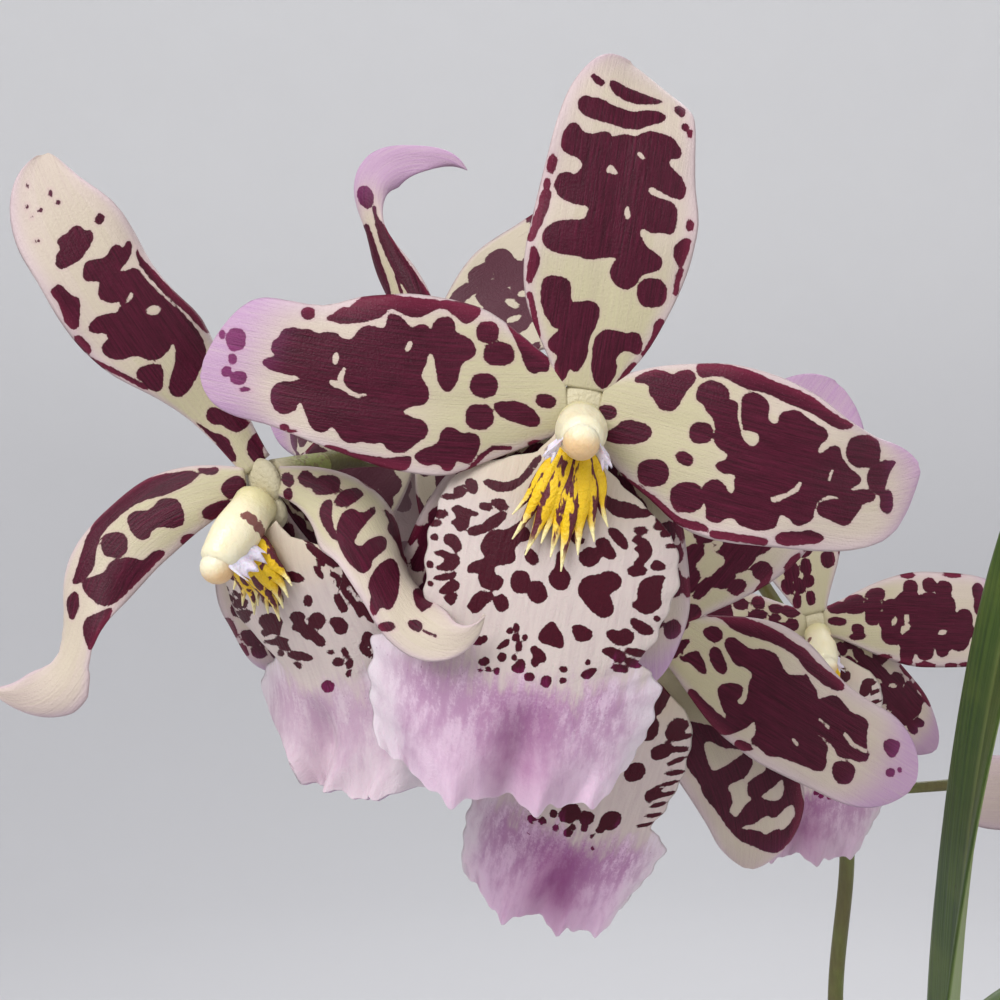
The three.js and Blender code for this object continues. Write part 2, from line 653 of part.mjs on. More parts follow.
function leaf(given, grow = 0) {
  const spec = { ...LEAF, ...given };
  const count = 8;
  const front = [];
  const back = [];
  const direction = (s) => {
    const turn = radians(along(spec.turn, s));
    const rise = radians(along(spec.rise, s));
    return vec(Math.cos(rise) * Math.cos(turn), Math.cos(rise) * Math.sin(turn), Math.sin(rise));
  };
  const length = spec.long + 2 * grow;
  const point = vec(...spec.from).addScaledVector(direction(0), -grow);
  for (const s of steps(count)) {
    if (s > 0) {
      point.addScaledVector(direction(s - 0.5 / count), length / count);
    }
    const turn = radians(along(spec.turn, s));
    const ahead = direction(s);
    const level = vec(-Math.sin(turn), Math.cos(turn), 0);
    const roll = radians(along(spec.roll, s));
    const side = turned(level, ahead.clone().cross(level), roll);
    const upper = ahead.clone().cross(side).normalize();
    const fold = radians(spec.fold * (1.6 - s));
    const row = (offset) => [-1, 0, 1].map((v) => point.clone()
      .addScaledVector(side, v * (leafHalf(spec, s) + grow) * Math.cos(fold))
      .addScaledVector(upper, Math.abs(v) * leafHalf(spec, s) * Math.sin(fold) + offset));
    front.push(row(LEAF_THICK / 2 + grow));
    back.push(row(-LEAF_THICK / 2 - grow));
  }
  return sheet(front, back);
}

// The pot: a plain tapered clay pot with a collar and four drain holes round a solid middle
function potOuter(z) {
  return THREE.MathUtils.lerp(POT_FOOT_RADIUS, POT_RIM_RADIUS - RIM_STEP, z / POT_HEIGHT);
}

function pot() {
  const collar = POT_HEIGHT - RIM_HEIGHT;
  const inner = (z) => potOuter(z) - POT_WALL;
  const profile = [
    [0, 0], [POT_FOOT_RADIUS - 2, 0], [POT_FOOT_RADIUS, 2], [potOuter(collar), collar],
    [potOuter(collar) + RIM_STEP, collar + 2], [POT_RIM_RADIUS - 0.8, POT_HEIGHT - 2],
    [POT_RIM_RADIUS - 3, POT_HEIGHT], [inner(POT_HEIGHT), POT_HEIGHT],
    [inner(POT_FLOOR), POT_FLOOR], [0, POT_FLOOR],
  ].map(([r, z]) => new THREE.Vector2(r, z));
  const wall = new THREE.LatheGeometry(profile, 26);
  wall.rotateX(Math.PI / 2);
  const hole = new THREE.CylinderGeometry(DRAIN_RADIUS, DRAIN_RADIUS, 3 * POT_FLOOR, 12);
  hole.rotateX(Math.PI / 2);
  const holes = [0, 1, 2, 3].map((i) => {
    const turn = (i * Math.PI) / 2 + Math.PI / 4;
    const across = [DRAIN_RING * Math.cos(turn), DRAIN_RING * Math.sin(turn)];
    return solidFrom(hole).translate([...across, POT_FLOOR / 2]);
  });
  return solidFrom(wall).subtract(wasm.Manifold.union(holes));
}

// The bark: a filling with a knobbly top, and chips of bark lying on it at all angles
const BARK_SEED = 11;
const BARK_SHOULDER = BARK_TOP - 6;
const FACET_SLACK = 0.5;         // the round wall and the round filling have different facets
const CHIP_COUNT = 10;
const CHIP_TURN = 2.39996;       // the golden angle, which spreads them evenly

function bark() {
  const random = seeded(BARK_SEED);
  const inner = (z) => potOuter(z) - POT_WALL - CLEAR - FACET_SLACK;
  const sides = 16;
  const ring = (radius, height) => steps(sides).slice(0, sides).map((q) => {
    const turn = q * 2 * Math.PI;
    return vec(radius * Math.cos(turn), radius * Math.sin(turn), height());
  });
  const knobbly = () => BARK_TOP - 5 + 5 * random();
  const low = POT_FLOOR + 3 + CLEAR;
  const rings = [ring(inner(low) - 1, () => low), ring(inner(BARK_SHOULDER), () => BARK_SHOULDER)];
  for (const share of [0.88, 0.6, 0.3]) {
    rings.push(ring(inner(BARK_SHOULDER) * share, knobbly));
  }
  const filling = loft(rings, vec(0, 0, low - 0.1), vec(0, 0, BARK_TOP - 2));
  const chips = Array.from({ length: CHIP_COUNT }, (_, i) => {
    const reach = 6 + 42 * Math.sqrt((i + 0.5) / CHIP_COUNT);
    const turn = i * CHIP_TURN;
    const chip = new THREE.BoxGeometry(10 + 8 * random(), 7 + 5 * random(), 4 + 2.5 * random());
    const corners = chip.attributes.position;
    for (let k = 0; k < corners.count; k += 1) {
      const slant = 0.22 * Math.sign(corners.getY(k)) * Math.sign(corners.getZ(k));
      corners.setX(k, corners.getX(k) * (1 - slant));
    }
    chip.rotateX((random() - 0.5) * 0.8);
    chip.rotateY((random() - 0.5) * 0.8);
    chip.rotateZ(random() * 2 * Math.PI);
    chip.translate(reach * Math.cos(turn), reach * Math.sin(turn), BARK_TOP - 2.2 + 1.6 * random());
    return solidFrom(chip);
  });
  return wasm.Manifold.union([filling, ...chips]);
}

// Materials, by piece
const finish = (color, roughness) => new THREE.MeshStandardMaterial({ color, roughness, metalness: 0 });
const TEPAL_FINISH = finish(0x6a1a38, 0.45);
const LIP_FINISH = finish(0xd9b8d6, 0.5);
const CREST_FINISH = finish(0xe0a818, 0.5);
const COLUMN_FINISH = finish(0xf0e4c4, 0.45);
const STEM_FINISH = finish(0x6f8438, 0.5);
const BUD_FINISH = finish(0x8a8a50, 0.5);
const BULB_FINISH = finish(0x7f9440, 0.5);
const SHEATH_FINISH = finish(0xb09a70, 0.8);
const LEAF_FINISH = finish(0x3f5a20, 0.45);
const BARK_FINISH = finish(0x6a4630, 0.9);
const POT_FINISH = finish(0xb5683f, 0.85);

// The whole plant
const orchid = new THREE.Group();

function addPiece(name, solid, material) {
  const { vertProperties, triVerts } = solid.getMesh();
  const geometry = new THREE.BufferGeometry();
  geometry.setAttribute('position', new THREE.BufferAttribute(vertProperties, 3));
  geometry.setIndex(new THREE.BufferAttribute(triVerts, 1));
  geometry.computeVertexNormals();
  const mesh = new THREE.Mesh(geometry, material);
  mesh.name = name;
  orchid.add(mesh);
}

const BLOOM_FINISHES = {
  sepals_petals: TEPAL_FINISH, lip: LIP_FINISH, crest: CREST_FINISH, column: COLUMN_FINISH,
};
for (const name of Object.keys(BLOOM_PLACES)) {
  for (const [piece, solid] of Object.entries(bloomPieces(name))) {
    addPiece(`bloom_${name}_${piece}`, solid, BLOOM_FINISHES[piece]);
  }
}

addPiece('flower_stem', flowerStem(), STEM_FINISH);
addPiece('tip_bud', tipBud(), BUD_FINISH);

const bulbRooms = Object.values(BULBS).map((spec) => bulb(spec, CLEAR));
const stemRoom = flowerStem(CLEAR);
for (const [name, spec] of Object.entries(BULBS)) {
  addPiece(name, bulb(spec), BULB_FINISH);
}
const earlier = [...bulbRooms, stemRoom];
for (const [name, spec] of Object.entries(LEAVES)) {
  const body = largest(leaf(spec).subtract(wasm.Manifold.union(earlier)));
  addPiece(name, body, LEAF_FINISH);
  earlier.push(leaf(spec, 2 * CLEAR));
}
for (const [name, spec] of Object.entries(SHEATHS)) {
  addPiece(name, largest(sheath(spec).subtract(wasm.Manifold.union(earlier))), SHEATH_FINISH);
}
const sheathRooms = Object.values(SHEATHS).map((spec) => sheath(spec, 2 * CLEAR));
addPiece('bark', largest(bark().subtract(wasm.Manifold.union([...earlier, ...sheathRooms]))), BARK_FINISH);
addPiece('pot', pot(), POT_FINISH);

export default orchid;
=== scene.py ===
"""A potted aliceara orchid on a plain pale floor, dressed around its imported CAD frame.

Every shape is laid out in millimetres in the frame's own axes (+Z up, the blooms look towards -Y)
and turned to metres when its mesh is made. The blades of the blooms are sheets over two numbers:
s runs from 0 at the root to 1 at the tip, and v from -1 at one margin to 1 at the other.
"""

import bpy
import numpy as np
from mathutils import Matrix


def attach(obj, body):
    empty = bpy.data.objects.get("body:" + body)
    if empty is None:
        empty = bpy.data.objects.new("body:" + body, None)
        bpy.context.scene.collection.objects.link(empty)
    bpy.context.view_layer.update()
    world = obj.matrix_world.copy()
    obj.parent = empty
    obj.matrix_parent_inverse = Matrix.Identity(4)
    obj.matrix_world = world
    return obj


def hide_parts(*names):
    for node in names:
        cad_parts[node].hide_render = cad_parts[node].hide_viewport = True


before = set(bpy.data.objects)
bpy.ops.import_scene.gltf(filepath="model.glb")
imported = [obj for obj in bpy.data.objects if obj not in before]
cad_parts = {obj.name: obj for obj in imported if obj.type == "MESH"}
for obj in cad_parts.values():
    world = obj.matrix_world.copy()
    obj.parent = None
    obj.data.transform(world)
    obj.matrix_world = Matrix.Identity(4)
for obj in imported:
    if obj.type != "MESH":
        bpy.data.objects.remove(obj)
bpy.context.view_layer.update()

# Camera: level with the upper bloom and a little to its left, at the angle of the photograph. The
# picture is square, and PICTURE_SCALE is its side's 1000 parts times the lens over the sensor.
CAMERA_PLACE = np.array([-105.0, -495.0, 545.0])
CAMERA_LENS = 60.372
SENSOR = 36.0
PICTURE_SCALE = 1000 * CAMERA_LENS / SENSOR

camera_data = bpy.data.cameras.new("camera")
camera_data.lens = CAMERA_LENS
camera_data.sensor_width = SENSOR
camera = bpy.data.objects.new("camera", camera_data)
camera.location = CAMERA_PLACE / 1000
camera.rotation_euler = (np.pi / 2, 0, 0)
bpy.context.scene.collection.objects.link(camera)
bpy.context.scene.camera = camera

# Floor, backdrop and light: a plain pale cove all round, a large soft lamp from the upper left in
# front, a weaker one from the right, two behind and an even pale surround. A lamp is (name, place,
# the point that it looks at, side in metres, watts).
COVE_RADIUS = 3200
COVE_HEIGHT = 5200
COVE_BEND = 1400
COVE_FLOOR_RINGS = [400, 1200]
COVE_BEND_ROWS = 24
COVE_SIDES = 96
LAMPS = [
    ("key", (-0.95, -1.35, 1.55), (-0.1, -0.2, 0.5), 1.1, 30),
    ("fill", (1.3, -1.1, 0.9), (-0.05, -0.1, 0.45), 1.4, 8),
    ("back", (0.4, 1.5, 1.7), (0, 0, 0.4), 1.2, 14),
    ("ceiling", (0, 1.6, 3.0), (0, 2.6, 1.0), 2.4, 15),
]
SURROUND_STRENGTH = 0.5


def rgb(red, green, blue):
    """A colour from its eight-bit screen values, made linear: ((c + 0.055) / 1.055) ** 2.4."""
    c = np.array([red, green, blue]) / 255
    linear = np.where(c <= 0.04045, c / 12.92, ((c + 0.055) / 1.055) ** 2.4)
    return (*linear.tolist(), 1.0)


def vectors(*parts):
    """Points or directions from their three (or two) parts, spread over each other's shape."""
    return np.stack(np.broadcast_arrays(*parts), -1)


class Socket:
    """An output of a shader node. Arithmetic on it adds Math nodes to its material."""

    def __init__(self, material, link):
        self.material = material
        self.link = link

    def math(self, operation, *values):
        return self.material.node("Math", {"operation": operation}, dict(enumerate(values)))

    def __add__(self, other):
        return self.math("ADD", self, other)

    def __sub__(self, other):
        return self.math("SUBTRACT", self, other)

    def __rsub__(self, other):
        return self.math("SUBTRACT", other, self)

    def __mul__(self, other):
        return self.math("MULTIPLY", self, other)

    __radd__ = __add__
    __rmul__ = __mul__

    def step(self, start, stop):
        """0 below start, 1 above stop and a smooth rise between them."""
        return self.material.node(
            "MapRange", {"interpolation_type": "SMOOTHSTEP"}, {0: self, 1: start, 2: stop}
        )

    def scaled(self, *factors):
        """The vector with its parts multiplied by the factors."""
        return self.material.node("VectorMath", {"operation": "MULTIPLY"}, {0: self, 1: factors})


class Material:
    """A Principled material. Constants sit on the shader's own sockets."""

    def __init__(self, name, constants):
        self.made = bpy.data.materials.new(name)
        self.made.use_nodes = True
        self.tree = self.made.node_tree
        self.shader = self.tree.nodes["Principled BSDF"]
        for place, value in constants.items():
            self.shader.inputs[place].default_value = value

    def feed(self, place, value):
        """A link from a socket, or a plain value, on an input."""
        if isinstance(value, Socket):
            self.tree.links.new(value.link, place)
        else:
            place.default_value = value

    def node(self, kind, settings=None, values=None, out=0):
        """A new node: its settings first, then values or links on its inputs."""
        made = self.tree.nodes.new("ShaderNode" + kind)
        for name, value in (settings or {}).items():
            setattr(made, name, value)
        for place, value in (values or {}).items():
            self.feed(made.inputs[place], value)
        return Socket(self, made.outputs[out])

    def attribute(self, name, out="Fac"):
        return self.node("Attribute", {"attribute_name": name}, out=out)

    def place(self):
        """The point in the object, in millimetres."""
        return self.node("TexCoord", out="Object").scaled(1000, 1000, 1000)

    def noise(self, place, scale, detail=2, roughness=0.5):
        return self.node(
            "TexNoise", None,
            {"Vector": place, "Scale": scale, "Detail": detail, "Roughness": roughness},
        )

    def cells(self, place, scale):
        return self.node("TexVoronoi", None, {"Vector": place, "Scale": scale})

    def mix(self, factor, low, high):
        """The colour low where the factor is 0 and high where it is 1."""
        return self.node("Mix", {"data_type": "RGBA"}, {0: factor, 6: low, 7: high}, out=2)

    def bump(self, height, distance, strength=1.0):
        """A skin that stands height * distance metres out of the surface."""
        normal = self.node("Bump", None, {"Height": height, "Distance": distance, "Strength": strength})
        self.feed(self.shader.inputs["Normal"], normal)

    def set(self, **sockets):
        for name, value in sockets.items():
            self.feed(self.shader.inputs[name.replace("_", " ").title()], value)


def rings_closed(rings, first, last):
    """A closed body through rows of rings that run anticlockwise as seen from the last one, with a
    pole at each end. Returns the points and their faces."""
    rows, sides = rings.shape[:2]
    i, j = np.meshgrid(np.arange(rows - 1), np.arange(sides), indexing="ij")
    k = (j + 1) % sides
    quads = vectors(i * sides + j, i * sides + k, (i + 1) * sides + k, (i + 1) * sides + j)
    j = np.arange(sides)
    k = (j + 1) % sides
    top = (rows - 1) * sides
    foot = vectors(np.full(sides, rows * sides), k, j)
    crown = vectors(np.full(sides, rows * sides + 1), top + j, top + k)
    points = np.vstack([rings.reshape(-1, 3), [first], [last]])
    return points, [quads.reshape(-1, 4), foot, crown]


def smooth(start, stop, x):
    """t * t * (3 - 2 t) with t the share of the way from start to stop."""
    t = np.clip((x - start) / (stop - start), 0, 1)
    return t * t * (3 - 2 * t)


bend = np.linspace(0, np.pi / 2, COVE_BEND_ROWS)
cove_radii = np.concatenate([COVE_FLOOR_RINGS, COVE_RADIUS - COVE_BEND * (1 - np.sin(bend)),
                             [COVE_RADIUS]])
cove_rises = np.concatenate([[0, 0], COVE_BEND * (1 - np.cos(bend)), [COVE_HEIGHT]])
turns = np.linspace(0, 2 * np.pi, COVE_SIDES, endpoint=False)
cove_rings = vectors(cove_radii[:, None] * np.cos(turns), cove_radii[:, None] * np.sin(turns),
                     cove_rises[:, None])
cove_points, cove_faces = rings_closed(cove_rings, [0, 0, 0], [0, 0, COVE_HEIGHT])
cove_mesh = bpy.data.meshes.new("cove")
cove_mesh.from_pydata(cove_points / 1000, [], cove_faces[0].tolist() + cove_faces[1].tolist())
cove_mesh.polygons.foreach_set("use_smooth", np.full(len(cove_mesh.polygons), True))
cove = bpy.data.objects.new("cove", cove_mesh)
bpy.context.scene.collection.objects.link(cove)
cove_wall = cove_mesh.attributes.new("wall", "FLOAT", "POINT")
cove_wall.data.foreach_set("value", smooth(0, COVE_BEND, cove_points[:, 2]))
cove_paint = Material("cove", {"Roughness": 0.9})
m = cove_paint
# The cove is painted paler up its wall than on its floor: painted light that brightens the backdrop, which
# lies far from the lamps.
cove_tone = m.mix(m.attribute("wall"), rgb(204, 204, 207), rgb(236, 236, 237))
m.set(base_color=m.mix(m.noise(m.place(), 0.01, 3) * 0.06, cove_tone, rgb(186, 186, 190)))
cove_mesh.materials.append(cove_paint.made)

for name, place, aim, size, power in LAMPS:
    lamp_data = bpy.data.lights.new(name, "AREA")
    lamp_data.size = size
    lamp_data.energy = power
    lamp = bpy.data.objects.new(name, lamp_data)
    lamp.location = place
    away = np.array(place) - np.array(aim)
    lamp.rotation_euler = (np.arctan2(np.hypot(away[0], away[1]), away[2]), 0,
                           np.arctan2(away[0], -away[1]))
    bpy.context.scene.collection.objects.link(lamp)

world = bpy.data.worlds.new("studio")
world.use_nodes = True
world.node_tree.nodes["Background"].inputs["Color"].default_value = rgb(245, 245, 248)
world.node_tree.nodes["Background"].inputs["Strength"].default_value = SURROUND_STRENGTH
bpy.context.scene.world = world
bpy.context.scene.view_settings.view_transform = "Standard"

# Blooms: six open flowers of firm waxy flesh, each grown on its own stalk. Here is where each one
# stands, its turn about Z, its nod and its roll, and what sets its blades apart. An upright blade is
# laid out in the frame's axes instead of the bloom's, and "drop" is how far a column dips.
BLOOM_PLACES = {
    "a": dict(at=[-92.1, -235, 559.7], yaw=0, pitch=0, roll=9, size=1),
    "b": dict(at=[-143.6, -223, 547.9], yaw=-40, pitch=-13, roll=0, size=1),
    "c": dict(at=[-118, -190, 566.5], yaw=160, pitch=12, roll=0, size=1),
    "d": dict(at=[-76, -177, 520.7], yaw=0, pitch=0, roll=32, size=1),
    "f": dict(at=[-26.9, -79, 514.7], yaw=0, pitch=0, roll=-6, size=0.88),
    "g": dict(at=[56, -85, 474], yaw=0, pitch=0, roll=0, size=0.92),
}
LATERAL = dict(lean=[-8, -12, -20, -30], full=0.45, blunt=2.4, long=54, wide=20)
TEPAL_SET = {
    "dorsal": dict(at=90, lean=[12, 6, -5, -60], full=0.46, blunt=3, cup=[-10, -12, 8], long=57),
    "left_petal": dict(at=180, blunt=3.4),
    "right_petal": dict(at=0, blunt=3.4),
    "left_sepal": dict(at=232, **LATERAL),
    "right_sepal": dict(at=308, **LATERAL),
}
BLOOM_FORMS = {
    "a": {
        "dorsal": dict(twist=[0, 0, 5, 25], wide=26.5, full=0.42, long=55.4, blunt=4.4, tint=0.3, tip=0.93,
                       left=[1.15, 1.2, 1.04, 0.98, 0.98, 1.01, 0.9, 0.86, 0.86, 0.93, 1],
                       right=[1.15, 1.2, 1.15, 1.03, 0.95, 0.92, 0.88, 0.86, 0.83, 0.78, 0.8]),
        "left_petal": dict(at=[193, 186, 178, 175], long=58, twist=[0, 0, -8], tip=0.84,
                           left=[1.6, 1.8, 1.7, 1.47, 1.32, 1.23, 1.16, 0.97, 1.03, 1.2, 1.2],
                           right=[1, 0.95, 0.9, 0.95, 0.82, 0.73, 0.64, 0.56, 0.53, 0.65, 0.8]),
        "right_petal": dict(at=[-4, -7, -8, -4, 2, 30], lean=[12, 8, 0, -25, -35], long=55, blunt=2.4,
                            tip=0.93, left=[1.4, 1.5, 1.3, 1.28, 1.16, 1.05, 1, 1, 1.02, 1, 0.5],
                            right=[1.3, 1.3, 1.14, 1.04, 0.94, 0.89, 0.81, 0.64, 0.6, 0.65, 0.8]),
        "left_sepal": dict(at=[236, 246, 258], lean=[-10, -25, -40], long=50),
        "right_sepal": dict(at=[300, 290, 282], lean=[-10, -25, -40], long=50),
        "lip": dict(at=[-94, -93, -90, -87], skew=0.1, long=57.5,
                    right=[1, 0.65, 0.95, 1.03, 1, 1, 1, 1, 1, 1, 1]),
        "drop": 11,
    },
    "b": {
        "dorsal": dict(upright=True, at=[130, 127, 123, 118, 114], lean=[0, 12, 10, 0, -20],
                       twist=[-10, 10, 10, 0], long=61, wide=22, full=0.62, blunt=2.4,
                       cup=[-30, -40, -20, 20], neck=0.35, tint=0.12,
                       left=[1, 1, 1, 1.05, 1.03, 0.76, 0.66, 0.68, 0.66, 0.4, 0.3],
                       right=[0.5, 0.4, 0.42, 0.6, 0.88, 0.95, 0.95, 0.92, 1.03, 1.1, 1.1]),
        "left_petal": dict(upright=True, at=[186, 198, 220, 243, 262, 226, 150], lean=[0, 5, 0],
                           twist=[-10, 10, 12, 14, 40, 20, -30], long=58, wide=21, full=0.45, tint=0.2,
                           blunt=1.6, point=0.8, cup=[-20, -40, -40, -20],
                           left=[0.9, 0.9, 0.88, 0.86, 0.82, 0.78, 0.73, 0.68, 0.66, 0.66, 0.67, 0.74,
                                 0.85, 0.9, 0.85, 0.3, 0.4, 0.7, 0.9, 0.9, 0.9],
                           right=[0.9, 0.9, 0.95, 0.92, 0.88, 0.85, 0.82, 0.79, 0.75, 0.7, 0.66, 0.62,
                                  0.58, 0.55, 0.5, 0.4, 1.1, 1.2, 1.1, 1, 0.9]),
        "right_petal": dict(upright=True, at=[-8, -28, -49, -64, -56, -8, 80],
                            lean=[25, 30, 28, 22, 15, 10], twist=[0, -20, -45, -40, -10, 20],
                            long=51, wide=19, full=0.45, blunt=1.8, point=0.8, tint=0.1,
                            cup=[-20, -50, -40, -10],
                            left=[0.6, 0.55, 0.6, 0.7, 0.57, 0.56, 0.42, 0.5, 0.62, 0.4, 0.3],
                            right=[1.1, 1.1, 1.2, 1.3, 1.12, 1.0, 1.05, 0.85, 0.9, 0.7, 0.4]),
        "left_sepal": dict(upright=True, at=[266, 278, 282], lean=[-30, -45, -50], long=46),
        "right_sepal": dict(upright=True, at=[304, 304, 310], lean=[-30, -45, -50], long=46),
        "lip": dict(at=[-92, -88, -88, -94, -98], lean=[-4, -14, -16, 6, 30], long=45.5, skew=0.1,
                    tint=0.15, left=[1, 1.05, 1.05, 0.98, 0.88, 0.7, 0.5, 0.64, 0.84, 0.72, 0.2]),
    },
    "c": {
        "dorsal": dict(upright=True, at=[102, 105, 110, 113, 113, 109, 95, 40, 6, -6, -50],
                       lean=[0, -10, -10, 0, 0], twist=[-30, -30, -30, -20, 0, 10], long=57,
                       wide=20, full=0.45, blunt=1.5, point=0.9, cup=[-60, -60, -30, -10], tip=0.6,
                       left=[1, 0.95, 0.7, 0.45, 0.25, 0.15, 0.3, 0.65, 0.7, 0.7, 0.6],
                       right=[1, 0.9, 0.8, 0.7, 0.55, 0.36, 0.45, 0.6, 0.42, 0.5, 0.6]),
        "left_petal": dict(upright=True, at=[54, 33, 28, 27], lean=[-5, -10, -20], twist=160,
                           long=52, wide=26),
        "right_petal": dict(upright=True, at=[176, 184, 194], lean=[-30, -50, -60], twist=180,
                            long=48),
        "left_sepal": dict(upright=True, at=290, lean=[0, -5, -15], twist=180, long=48),
        "right_sepal": dict(upright=True, at=232, lean=[0, -10, -20], twist=180, long=48),
    },
    "d": {
        "dorsal": dict(at=84, lean=[12, 6, -5, -30]),
        "left_petal": dict(lean=[-5, -25, -40]),
        "right_petal": dict(wide=24, left=[1, 1, 1, 1, 0.93, 0.92, 0.88, 0.84, 0.85, 0.85, 0.9],
                            right=[1.5, 1.5, 1.45, 1.35, 1.18, 1.02, 0.87, 0.85, 0.95, 1, 1]),
        "right_sepal": dict(at=[336, 334, 327, 316, 296], wide=22, tint=0.3, tip=0.95,
                            left=[1, 1, 1, 1, 1, 1, 0.95, 0.9, 0.85, 0.9, 1],
                            right=[1, 1, 1, 1, 1.05, 1.1, 1.15, 1.2, 1.3, 1.3, 1]),
        "lip": dict(at=[-80, -76, -73], long=55, broad=0.86, tint=0.85,
                    right=[1, 1, 1, 1, 1, 1, 1, 0.94, 0.88, 0.86, 0.86]),
    },
    "f": {"dorsal": dict(at=97), "right_petal": dict(at=[-1, -8, -8]), "lip": dict(at=-100, long=62)},
    "g": {"left_petal": dict(wide=20, twist=[0, 10, 20], long=53, blunt=6, tip=0.7, tint=0.3, bare=0.6)},
}


def turn_about(axis, degrees):
    """The matrix of a right-handed turn about an axis, 0 to 2 for X, Y and Z."""
    c, s = np.cos(np.radians(degrees)), np.sin(np.radians(degrees))
    turn = np.eye(3)
    one, two = (axis + 1) % 3, (axis + 2) % 3
    turn[one, one] = turn[two, two] = c
    turn[one, two], turn[two, one] = -s, s
    return turn


def bloom_turn(place):
    """The matrix of a bloom's roll about Y, then its nod about X, then its turn about Z."""
    return turn_about(2, place["yaw"]) @ turn_about(0, -place["pitch"]) @ turn_about(1, place["roll"])


def placed(place, points, upright=False):
    """Points of a bloom moved to where it stands."""
    turn = np.eye(3) if upright else bloom_turn(place)
    return points * place["size"] @ turn.T + np.array(place["at"])


# Sepals and petals: five fleshy blades grown together on a small boss, with a green seed vessel
# behind it that sits on the stalk. A blade's middle line follows "at" (90 is up, 0 right, seen from
# the front) and "lean" (forwards). Meshes are (rows, columns), finest where the viewer is nearest.
TEPAL = dict(at=90, lean=[10, 6, -4, -22], twist=0, long=56, wide=27, neck=0.3, full=0.5, blunt=3.2,
             point=0.5, cup=-12, wave=0.6, waves=3, left=1, right=1, upright=False, tip=0.85, tint=1,
             bare=0.84)
TEPAL_ROOT = 2.6
TEPAL_THICK = 0.9
NEAR_MESH = (196, 62)
SHOWN_MESH = (110, 40)
HIDDEN_MESH = (76, 28)
LINE_STEPS = 200
KEY_EASE = 0.04
BACK_EDGE = 0.97
BOSS_BALLS = [([0, 0.3, 0], [3.9, 1.5, 3.9]), ([0, 0.6, -5.2], [3.6, 1.9, 3.2])]
OVARY_LENGTH = 14
OVARY_LINE = [[0, 3, 0], [0, 8, 0], [0, OVARY_LENGTH, 0]]
OVARY_RADII = [3.2, 2.7, 2]


class Shells:
    """Closed meshes that are joined into one piece, with numbers held at their vertices."""

    def __init__(self):
        self.points = []
        self.faces = []
        self.slots = []
        self.held = []
        self.count = 0

    def add(self, points, faces, slot=0, **held):
        """Each face list is an array of vertex numbers with 3 or 4 columns."""
        self.points.append(points.reshape(-1, 3))
        for group in faces:
            self.faces += (group + self.count).tolist()
            self.slots += [slot] * len(group)
        self.held.append({name: np.asarray(value, float) for name, value in held.items()})
        self.count += len(self.points[-1])

    def make(self, name, materials, nodes, smooth=True):
        """The finished piece, in the place of its CAD nodes. Only "blade" is held as a vector."""
        mesh = bpy.data.meshes.new(name)
        mesh.from_pydata(np.vstack(self.points) / 1000, [], self.faces)
        mesh.polygons.foreach_set("use_smooth", np.full(len(self.faces), smooth))
        mesh.polygons.foreach_set("material_index", np.array(self.slots))
        for key in sorted({key for held in self.held for key in held}):
            wide = key == "blade"
            blank = (3,) if wide else ()
            values = [held.get(key, np.zeros((len(points), *blank))).reshape(len(points), *blank)
                      for held, points in zip(self.held, self.points)]
            attribute = mesh.attributes.new(key, "FLOAT_VECTOR" if wide else "FLOAT", "POINT")
            attribute.data.foreach_set("vector" if wide else "value", np.concatenate(values).ravel())
        mesh.update()
        piece = bpy.data.objects.new(name, mesh)
        bpy.context.scene.collection.objects.link(piece)
        for material in materials:
            mesh.materials.append(material.made)
        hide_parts(*nodes)
        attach(piece, "root")
        return piece


def keyed(keys, s):
    """Values given at evenly spaced places from 0 to 1, read linearly and rounded at the places."""
    keys = np.atleast_1d(np.asarray(keys, float))
    spots = np.linspace(0, 1, len(keys)) if len(keys) > 1 else np.zeros(1)
    read = [np.interp(np.asarray(s) + d, spots, keys) for d in (-KEY_EASE, 0, KEY_EASE)]
    return (read[0] + 2 * read[1] + read[2]) / 4


def heading(spec, s):
    """The direction of a blade's middle line: (cos lean cos at, -sin lean, cos lean sin at)."""
    at, lean = np.radians(keyed(spec["at"], s)), np.radians(keyed(spec["lean"], s))
    return vectors(np.cos(lean) * np.cos(at), -np.sin(lean), np.cos(lean) * np.sin(at))


def run_along(ahead_at, long, steps, start, first=0.0):
    """A curve as a function of s: the sum of its headings from first to 1, moved so that it passes
    start at s = 0."""
    s = np.linspace(first, 1, steps + 1)
    middle = (s[1:] + s[:-1]) / 2
    line = np.vstack([np.zeros(3), np.cumsum(ahead_at(middle), 0)]) * (long * (1 - first) / steps)

    def point_at(x):
        return np.stack([np.interp(x, s, line[:, k]) for k in range(3)], -1)

    shift = np.asarray(start) - point_at(0.0)
    return lambda x: point_at(x) + shift


def blade_line(spec, start, first=0.0):
    """The middle line as a function of s: its point, and the side and front directions there."""
    point_at = run_along(lambda x: heading(spec, x), spec["long"], LINE_STEPS, start, first)

    def place(x):
        at = np.radians(keyed(spec["at"], x))
        side = vectors(-np.sin(at), 0, np.cos(at))
        front = np.cross(heading(spec, x), side)
        twist = np.radians(keyed(spec["twist"], x))[..., None]
        return (point_at(x), side * np.cos(twist) + front * np.sin(twist),
                front * np.cos(twist) - side * np.sin(twist))

    return place


def bent(half, cup, v):
    """How far across and how high a point lies when the half width is bent into an arc of cup
    degrees: half * sin(cup v) / cup and half * (1 - cos(cup v)) / cup."""
    arc = np.radians(np.where(np.abs(cup) < 0.1, 0.1, cup))
    return half * np.sin(arc * v) / arc, half * (1 - np.cos(arc * v)) / arc


